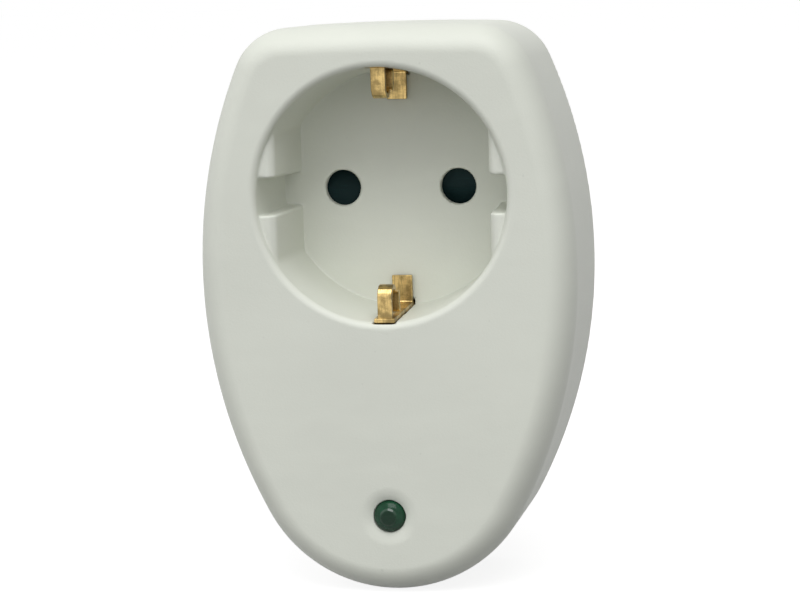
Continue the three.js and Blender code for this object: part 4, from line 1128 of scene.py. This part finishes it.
class AdapterColours(bpy.types.PropertyGroup):
    housing: tint("Housing", "Moulded covers", 221, 224, 214)
    shutter: tint("Shutter", "Plate behind the pin holes", 14, 37, 38)
    lamp: tint("Lamp", "Resin of the lamp", 18, 66, 42)
    brass: tint("Brass", "Earth clips, earth bar and contacts", 220, 190, 126)
    nickel: tint("Nickel", "Plug pins and the plug's earth strips", 214, 210, 200)
    zinc: tint("Zinc", "Screws and leads", 200, 202, 204)
    steel: tint("Spring steel", "The shutter's spring", 172, 174, 176)
    black: tint("Black plastic", "Lamp spacer and diode", 26, 27, 28)
    carrier: tint("Contact carrier", "Heat-proof plastic that holds the contacts", 224, 217, 196)
    board: tint("Board", "Laminate of the circuit board", 150, 116, 66)
    varistor: tint("Varistors", "Dipped coat of the varistors", 38, 84, 156)
    capacitor: tint("Capacitor", "Case of the capacitor", 204, 164, 48)
    ceramic: tint("Ceramic", "Tube between the gas tube's caps", 226, 222, 212)
    resistor: tint("Resistor", "Coat under the resistor's rings", 206, 184, 140)
    line: tint("Line wire", "Insulation of the line wire", 104, 62, 36)
    neutral: tint("Neutral wire", "Insulation of the neutral wire", 44, 98, 176)
    earth: tint("Earth wire", "First colour of the earth wire", 64, 140, 62)
    earth_stripe: tint("Earth stripe", "Second colour of the earth wire", 222, 206, 62)


class AdapterStage(bpy.types.PropertyGroup):
    key_power: FloatProperty(
        name="Key lamp", description="Power of the large soft lamp above",
        default=9.2, min=0, max=200, subtype="POWER", unit="POWER")
    key_size: FloatProperty(
        name="Lamp size", description="Side of the square lamp",
        default=0.9, min=0.05, max=3, subtype="DISTANCE", unit="LENGTH")
    room_light: FloatProperty(
        name="Room light", description="Strength of the soft light from all round, at eye level",
        default=0.87, min=0, max=2, subtype="FACTOR")
    room_slope: FloatVectorProperty(
        name="Room slope", description="How much stronger that light is along X, Y and Z",
        default=(-0.297, -0.403, -0.609), min=-1, max=1, size=3, subtype="XYZ")
    floor_tone: FloatProperty(
        name="Floor tone", description="How much light the floor sends back up",
        default=0.2, min=0, max=1, subtype="FACTOR")


def sizes():
    return bpy.context.scene.adapter_sizes


def moulding(name, field, node, body, look, cell, keep, slot, proud=0.6):
    """Meshes a field inside its CAD node's box and puts the piece in the node's place."""
    low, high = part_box(node)
    low = [value / MM - proud for value in low]
    high = [value / MM + proud for value in high]
    mesh = field_mesh(name, field, low, high, cell, keep)
    return place_piece(name, mesh, finish(look), body, node, slot=slot)


# Operators: one for each group of like pieces

class ADAPTER_OT_covers(bpy.types.Operator):
    """Moulds the front cover with its socket and the rear cover with its plug body"""

    bl_idname = "adapter.covers"
    bl_label = "Covers"

    def execute(self, context):
        cell, keep = sizes().cover_cell / MM, sizes().cover_share
        for name, field in (("front_cover", front_cover), ("rear_cover", rear_cover)):
            moulding(name + "_shell", field, name, "housing", "moulded_white", cell, keep,
                     "white_plastic")
        return {"FINISHED"}


class ADAPTER_OT_shutter(bpy.types.Operator):
    """Moulds the shutter and winds its spring"""

    bl_idname = "adapter.shutter"
    bl_label = "Shutter and spring"

    def execute(self, context):
        moulding("shutter_plate", shutter, "shutter", "shutter", "moulded_dark", 0.22, 0.35,
                 "teal_plastic")
        route = shutter_spring()
        mesh = round_wire("spring_coil", route, SPRING_WIRE)
        piece = bpy.data.objects.new("spring_coil", dipped(mesh, finish("spring_wire")))
        bpy.context.scene.collection.objects.link(piece)
        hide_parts("shutter_spring")
        start, end = route[0][1] * MM, route[-1][1] * MM
        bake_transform(piece)
        return {"FINISHED"}


class ADAPTER_OT_earth(bpy.types.Operator):
    """Stamps the earth clips, the bar that joins them and the plug's earth strips"""

    bl_idname = "adapter.earth"
    bl_label = "Earth clips, bar and strips"

    def execute(self, context):
        for name, nose, foot, turn in (("upper", 15, 19.95, False), ("lower", 14.2, 19.3, True)):
            def clip(p):
                return earth_clip(flip(p) if turn else p, nose, foot)

            def strip(p):
                return earth_strip(flip(p) if turn else p)

            moulding(f"clip_{name}", clip, f"earth_clip_{name}", f"{name}_clip",
                     "stamped_brass", 0.14, 0.3, "brass", 0.3)
            moulding(f"strip_{name}", strip, f"plug_earth_strip_{name}", "housing",
                     "nickel_plate", 0.16, 0.25, "nickel", 0.3)
        moulding("bar", earth_bar, "earth_bar", "housing", "stamped_brass", 0.18, 0.2, "brass",
                 0.3)
        return {"FINISHED"}


class ADAPTER_OT_contacts(bpy.types.Operator):
    """Makes the contact carrier, the spring contacts in it and the plug pins"""

    bl_idname = "adapter.contacts"
    bl_label = "Contacts and pins"

    def execute(self, context):
        moulding("carrier", contact_carrier, "contact_carrier", "housing", "carrier_plastic",
                 0.3, 0.3, "carrier_plastic")
        for name, side in (("left", -1), ("right", 1)):
            def fork(p):
                return contact(p, side)

            moulding(f"fork_{name}", fork, f"contact_{name}", "housing", "stamped_brass",
                     0.16, 0.3, "brass", 0.3)
            mesh = turned_piece(f"pin_{name}", pin_profile(), (side * PIN_X, 0, 0))
            place_piece(f"pin_{name}", mesh, finish("nickel_plate"), "housing",
                        f"plug_pin_{name}", slot="nickel")
        return {"FINISHED"}


class ADAPTER_OT_lamp(bpy.types.Operator):
    """Casts the lamp over its cup, and sets it on its spacer and leads"""

    bl_idname = "adapter.lamp"
    bl_label = "Lamp"

    def execute(self, context):
        at = (0, 0, LAMP_Z)
        lens = turned_piece("lamp_lens", lamp_profile(), at, 96)
        place_piece("lamp_lens", lens, finish("lamp_glass"), "housing", "indicator_lamp",
                    slot="green_lens")
        bowl = FRONT + 1.1
        cup = soft_profile(
            [(0, bowl + 1), (0.5, bowl + 1), (1.25, bowl), (1.5, bowl), (1.5, bowl + 1.6),
             (0.5, bowl + 2.4), (0.5, FRONT + 6), (0, FRONT + 6)], 0.1)
        cup = turned_piece("lamp_cup", cup, at, 48)
        place_piece("lamp_cup", cup, finish("zinc_plate"), "housing", slot="green_lens")
        spacer = field_mesh(
            "lamp_stand", lamp_spacer, (-3, -38.6, -53.7), (3, -37.2, -47.7), 0.15, 0.4)
        place_piece("lamp_stand", spacer, finish("black_plastic"), "housing", "lamp_spacer",
                    slot="black_plastic")
        for name, side in (("left", -1), ("right", 1)):
            x = side * LEAD_X
            mesh = round_wire(f"lamp_leg_{name}", [(x, -38.7, LAMP_Z), (x, -34.8, LAMP_Z)], 0.28)
            place_piece(f"lamp_leg_{name}", mesh, finish("zinc_plate"), "housing",
                        f"lamp_lead_{name}", slot="zinc_steel")
        return {"FINISHED"}


def leads_and_body(name, body, look, places, height, body_place, slot):
    """A part on two bent leads: its body's mesh, and a lead at each place."""
    leads = []
    for x, side in places:
        foot, z = (x, BOARD_BACK - 1.2), body_place[2]
        bend = [foot, (x, BOARD_BACK + height), (body_place[0] - 0.5 * side, BOARD_BACK + height)]
        route = [(u, v, z) for u, v in rounded_path(bend, [0.7])]
        leads.append(dipped(round_wire(name + "_lead", route, 0.3), finish("zinc_plate")))
    mesh = joined(name + "_part", dipped(body, look), *leads)
    return place_piece(name + "_part", mesh, look, "housing", name, slot=slot)


def axial(name, profile, x, y, z):
    """A profile of [radius, place] points turned round a lead that lies along X."""
    mesh = turned_piece(name + "_body", soft_profile(profile, 0.25), (0, 0, 0), 48)
    turn = Matrix.Rotation(-math.pi / 2, 4, "Z")
    mesh.transform(Matrix.Translation(Vector((x, y, z)) * MM) @ turn)
    return mesh


class ADAPTER_OT_board(bpy.types.Operator):
    """Cuts the circuit board, lays its tracks and joints, and stands its parts on it"""

    bl_idname = "adapter.board"
    bl_label = "Circuit board and its parts"

    def execute(self, context):
        tone = tones()
        moulding("laminate", circuit_board, "circuit_board", "housing", "board_laminate",
                 0.4, 0.25, "board_laminate", 0.3)
        for number, z in enumerate((-33, -38.2, -43.4), 1):
            at = Vector((-8, -27.1, z))
            disc = soft_profile(
                [(0, -1.9), (2.5, -2.05), (5.2, -1.75), (5.95, -0.9), (5.95, 0.9), (5.2, 1.75),
                 (2.5, 2.05), (0, 1.9)], 0.9)
            disc = turned_piece("disc", disc, (0, 0, 0), 64)
            disc.transform(Matrix.Translation(at * MM) @ Matrix.Rotation(math.pi / 2, 4, "X"))
            look = finish("varistor_coat", dipped_coat, tone.varistor)
            pieces = [dipped(disc, look)]
            for side in (-1, 1):
                x = at.x + side * 4
                drip = soft_profile([(0, -0.6), (0.75, 0), (0.75, 3), (0.3, 3), (0, 3)], 0.2)
                drip = turned_piece("drip", drip, (x, BOARD_BACK + 1.7, at.z), 24)
                pieces.append(dipped(drip, look))
                route = [(x, BOARD_BACK - 1.2, at.z), (x, BOARD_BACK + 2.6, at.z)]
                pieces.append(dipped(round_wire("leg", route, 0.3), finish("zinc_plate")))
            mesh = joined(f"varistor_{number}_part", *pieces)
            place_piece(mesh.name, mesh, look, "housing", f"varistor_{number}",
                        slot="varistor_coat")

        box = field_mesh("capacitor_body", capacitor, (1.6, -34.2, -42.9), (13.6, -25, -38.3),
                         0.25, 0.3)
        look = finish("capacitor_plastic", dipped_coat, tone.capacitor)
        leads_and_body("capacitor", box, look, ((3.1, -1), (12.1, 1)), 2, (7.6, 0, -40.6),
                       "capacitor_plastic")

        tube = axial("gas_tube", [(0, -3), (3.55, -3), (3.55, -1.9), (3.3, -1.7), (3.3, 1.7),
                                  (3.55, 1.9), (3.55, 3), (0, 3)], 7.6, -30.5, -33.2)
        caps = ((-2.7, 0.9, colour(206, 208, 208)), (2.7, 0.9, colour(206, 208, 208)))
        look = finish("gas_tube_coat", banded_coat, tone.ceramic, 7.6, caps)
        leads_and_body("gas_tube", tube, look, ((2.3, 1), (12.9, -1)), 4.6, (7.6, 0, -33.2),
                       "ceramic")

        body = [(0, -3.5), (1.15, -3.5), (1.3, -3), (1.3, -2.1), (1.05, -1.7), (1.05, 1.7),
                (1.3, 2.1), (1.3, 3), (1.15, 3.5), (0, 3.5)]
        rings = (
            (-2.5, 0.3, colour(120, 70, 36)), (-1.2, 0.3, colour(40, 36, 34)),
            (0.1, 0.3, colour(206, 112, 42)), (2.5, 0.3, colour(190, 150, 60)),
        )
        look = finish("resistor_coat", banded_coat, tone.resistor, 7.6, rings)
        leads_and_body("resistor", axial("resistor", body, 7.6, -32.8, -45.4), look,
                       ((2.0, 1), (13.2, -1)), 2.3, (7.6, 0, -45.4), "resistor_coat")

        body = [(0, -2.3), (1.2, -2.3), (1.2, 2.3), (0, 2.3)]
        ring = ((1.5, 0.3, colour(196, 198, 198)),)
        look = finish("diode_coat", banded_coat, tone.black, 7.6, ring)
        leads_and_body("diode", axial("diode", body, 7.6, -32.9, -49.2), look,
                       ((3.2, 1), (12, -1)), 2.2, (7.6, 0, -49.2), "black_plastic")

        body = [(0, -3.78), (1.2, -3.78), (1.6, -3.3), (1.6, 2.6), (1.0, 3.78), (0, 3.78)]
        fuse = axial("thermal_fuse", body, -8.1, -32.5, -48.4)
        leads_and_body("thermal_fuse", fuse, finish("zinc_plate"), ((-12.8, 1), (-2.2, -1)), 2.6,
                       (-8.1, 0, -48.4), "zinc_steel")
        self.lay_tracks()
        return {"FINISHED"}

    def lay_tracks(self):
        """Flat tracks and domed joints on the board's front, under the parts."""
        runs = (
            ((-9.6, -25.5), (-12, -27.5), (-12, -43.4)), ((-4, -33), (-4, -43.4), (-2.2, -48.4)),
            ((9.6, -25.5), (12.9, -29), (12.9, -33.2), (12.1, -40.6)),
            ((2.3, -33.2), (3.1, -40.6), (2, -45.4), (LEAD_X, LAMP_Z)),
            ((13.2, -45.4), (12, -49.2)), ((3.2, -49.2), (-LEAD_X, LAMP_Z)),
            ((0, -25.5), (0, -29)),
        )
        pieces = []
        for run in runs:
            path = rounded_path(run, [0.5] * (len(run) - 2))
            track = round_wire("track", [(x, 0, z) for x, z in path], 0.6, 2)
            flat = Matrix.Diagonal((1, 0.1, 1, 1))
            track.transform(Matrix.Translation((0, BOARD_FRONT * MM, 0)) @ flat)
            pieces.append(dipped(track, finish("copper_metal")))
        spots = {spot for run in runs for spot in (run[0], run[-1])}
        spots |= {(-12, -33), (-12, -38.2), (-4, -38.2), (-12.8, -48.4)}
        for x, z in sorted(spots):
            dome = [(0, -0.9), (0.3, -0.85), (0.45, -0.5), (0.9, -0.12), (1.1, 0), (0, 0.05)]
            dome = turned_piece("joint", soft_profile(dome, 0.2), (x, BOARD_FRONT, z), 20)
            pieces.append(dipped(dome, finish("solder_metal")))
        mesh = joined("board_tracks", *pieces)
        place_piece(mesh.name, mesh, finish("copper_metal"), "housing", slot="brass")


class ADAPTER_OT_screws(bpy.types.Operator):
    """Cuts the housing screws and the board screws"""

    bl_idname = "adapter.screws"
    bl_label = "Screws"

    def execute(self, context):
        pitch = sizes().thread_pitch / MM
        large, small = (1.5, 2.8, 1.5, 12, pitch), (1, 1.9, 1.2, 5, 0.7 * pitch)
        places = [(f"housing_screw_{i}", (x, -17.6, z), large, 0.16)
                  for i, (x, z) in enumerate(SCREWS, 1)]
        places += [(f"board_screw_{i}", (x, -33.9, z), small, 0.12)
                   for i, (x, z) in enumerate(BOARD_POSTS, 1)]
        for node, place, size, cell in places:
            def field(p):
                return screw(p, place, size)

            moulding(node + "_cut", field, node, "housing", "zinc_plate", cell, 0.35,
                     "zinc_steel", 0.2)
        return {"FINISHED"}


class ADAPTER_OT_wires(bpy.types.Operator):
    """Lays the three insulated wires from the contacts and the earth bar to the board"""

    bl_idname = "adapter.wires"
    bl_label = "Wires"

    def execute(self, context):
        gate_z, end_x, end_z, skin_radius = 14.22, 9.6, 24.9, 0.85
        tone = tones()
        cup_middle = -(gate_z + CUP) / 2
        for name, side, base in (("line", -1, tone.line), ("neutral", 1, tone.neutral)):
            points = [
                (5.9, -5.2, -8.15), (5.9, -8.5, -8.15), (6.2, -13, -(8.15 + gate_z) / 2),
                (6.6, -20.25, -gate_z), (8.1, -23.35, cup_middle), (8.75, FLOOR_BACK, -23.65),
                (end_x, -30.85, -end_z), (end_x, -33.6, -end_z), (end_x, -34.9, -end_z),
            ]
            route = strung([(side * x, y, z) for x, y, z in points])
            look = insulation(name + "_insulation", base)
            slot = "brown_insulation" if name == "line" else "blue_insulation"
            self.lay(f"wire_{name}", route, skin_radius, look, slot)
        points = [
            (0, -20.6, -23.4), (0, -24.5, -23.4), (0, -29.9, -24.25), (0, -31.8, -end_z),
            (0, -34.9, -end_z),
        ]
        look = insulation("earth_insulation", tone.earth, tone.earth_stripe)
        self.lay("wire_earth", strung(points), skin_radius, look, "green_yellow_insulation")
        return {"FINISHED"}

    def lay(self, node, route, radius, look, slot):
        """Insulation between two bared ends of copper."""
        skin = route[3:-3]
        pieces = [dipped(round_wire("skin", skin, radius, 6), look)]
        for end in (route[:5], route[-5:]):
            pieces.append(dipped(round_wire("core", end, 0.45, 3), finish("copper_metal")))
        mesh = joined(node + "_laid", *pieces)
        place_piece(mesh.name, mesh, look, "housing", node, slot=slot)


# Stage

class ADAPTER_OT_stage(bpy.types.Operator):
    """Sets the camera, the soft lamp, the even light and the pale floor"""

    bl_idname = "adapter.stage"
    bl_label = "Camera, light and floor"

    def execute(self, context):
        stage = context.scene.adapter_stage
        context.scene.view_settings.view_transform = "Standard"
        self.aim_camera(context)
        lamp = bpy.data.lights.new("key_lamp", "AREA")
        lamp.shape = "SQUARE"
        lamp.size, lamp.energy = stage.key_size, stage.key_power
        carrier = bpy.data.objects.new("key_lamp", lamp)
        direction, away = Vector((0.12, -0.5, 0.86)).normalized(), 1.2
        carrier.location = direction * away
        carrier.rotation_euler = direction.to_track_quat("Z", "Y").to_euler()
        context.scene.collection.objects.link(carrier)
        self.light_room(context, stage.room_light, stage.room_slope)
        self.lay_floor(context, stage.floor_tone)
        return {"FINISHED"}

    def aim_camera(self, context):
        """Stands the camera where the photograph was taken from."""
        yaw, pitch, roll = -0.1954, -0.1238, -0.0298
        forward = Vector((
            math.sin(yaw) * math.cos(pitch), math.cos(yaw) * math.cos(pitch), math.sin(pitch),
        ))
        level = Vector((math.cos(yaw), -math.sin(yaw), 0))
        up = level.cross(forward)
        right = math.cos(roll) * level + math.sin(roll) * up
        up = math.cos(roll) * up - math.sin(roll) * level
        camera = bpy.data.cameras.new("camera")
        camera.lens, camera.sensor_width = 117, 36
        camera.clip_start, camera.clip_end = 0.01, 50
        carrier = bpy.data.objects.new("camera", camera)
        turn = Matrix((right, up, -forward)).transposed().to_4x4()
        carrier.matrix_world = Matrix.Translation((0.08088, -0.43974, 0.03380)) @ turn
        context.scene.collection.objects.link(carrier)
        context.scene.camera = carrier

    def light_room(self, context, strength, slope):
        """Even light that grows along the slope, in front of which the room is seen white."""
        world = bpy.data.worlds.new("room")
        world.use_nodes = True
        context.scene.world = world
        nodes = Nodes(world.node_tree)
        back = world.node_tree.nodes["Background"]
        seen = self.seen(nodes)
        settings = {"operation": "DOT_PRODUCT"}
        towards = nodes.node("TexCoord")
        lean = nodes.node("VectorMath", settings, 1, Vector=towards, Vector_001=slope)
        nodes.feed(back, "Strength", seen + (1 - seen) * (lean + strength))
        nodes.feed(back, "Color", (1, 1, 1))

    def seen(self, nodes):
        """One for rays that the camera, a gloss or a clear body sends, and nought for light."""
        camera, glossy, transmission = 0, 3, 6
        rays = [nodes.node("LightPath", None, ray) for ray in (camera, glossy, transmission)]
        return nodes.node("Math", {"operation": "MINIMUM"}, Value=rays[0] + rays[1] + rays[2],
                          Value_001=1.0)

    def lay_floor(self, context, tone):
        """A sheet that shows as white paper with a shadow, and sends light back by its tone."""
        mesh = bpy.data.meshes.new("floor")
        z = CAD_BOX[0][2]
        span = 8
        mesh.from_pydata(
            [(-span, -span, z), (span, -span, z), (span, span, z), (-span, span, z)], [],
            [(0, 1, 2, 3)])
        material = bpy.data.materials.new("floor_paper")
        material.use_nodes = True
        nodes = Nodes(material.node_tree)
        out = material.node_tree.nodes["Material Output"]
        material.node_tree.nodes.remove(material.node_tree.nodes["Principled BSDF"])
        lit = nodes.node("BsdfDiffuse", Color=(tone, tone, tone))
        paper = nodes.node("BsdfDiffuse", Color=(1, 1, 1))
        glow_strength, glow_share = 1.23, 0.7
        glow = nodes.node("Emission", Color=(1, 1, 1), Strength=glow_strength)
        shown = nodes.node("MixShader", Fac=glow_share, Shader=paper, Shader_001=glow)
        floor = nodes.node("MixShader", Fac=self.seen(nodes), Shader=lit, Shader_001=shown)
        material.node_tree.links.new(floor.outlet, out.inputs["Surface"])
        mesh.materials.append(material)
        carrier = bpy.data.objects.new("floor", mesh)
        context.scene.collection.objects.link(carrier)


PIECE_OPERATORS = (
    ADAPTER_OT_covers, ADAPTER_OT_shutter, ADAPTER_OT_earth, ADAPTER_OT_contacts,
    ADAPTER_OT_lamp, ADAPTER_OT_board, ADAPTER_OT_screws, ADAPTER_OT_wires, ADAPTER_OT_stage,
)


class ADAPTER_PT_panel(bpy.types.Panel):
    """Lists the adapter's pieces, sizes and colours"""

    bl_idname = "ADAPTER_PT_panel"
    bl_label = "Plug-through adapter"
    bl_space_type = "VIEW_3D"
    bl_region_type = "UI"
    bl_category = "Adapter"

    def draw(self, context):
        for operator in PIECE_OPERATORS:
            self.layout.operator(operator.bl_idname, text=operator.bl_label)
        scene = context.scene
        for group in (scene.adapter_sizes, scene.adapter_colours, scene.adapter_stage):
            box = self.layout.box()
            for key in group.__annotations__:
                box.prop(group, key)


GROUPS = (AdapterSizes, AdapterColours, AdapterStage)


def register():
    for cls in (*GROUPS, *PIECE_OPERATORS, ADAPTER_PT_panel):
        bpy.utils.register_class(cls)
    bpy.types.Scene.adapter_sizes = PointerProperty(type=AdapterSizes)
    bpy.types.Scene.adapter_colours = PointerProperty(type=AdapterColours)
    bpy.types.Scene.adapter_stage = PointerProperty(type=AdapterStage)


def unregister():
    for key in ("adapter_sizes", "adapter_colours", "adapter_stage"):
        delattr(bpy.types.Scene, key)
    for cls in reversed((*GROUPS, *PIECE_OPERATORS, ADAPTER_PT_panel)):
        bpy.utils.unregister_class(cls)


def main():
    register()
    for step in ("covers", "shutter", "earth", "contacts", "lamp", "board", "screws", "wires",
                 "stage"):
        getattr(bpy.ops.adapter, step)()


if __name__ == "__main__":
    main()
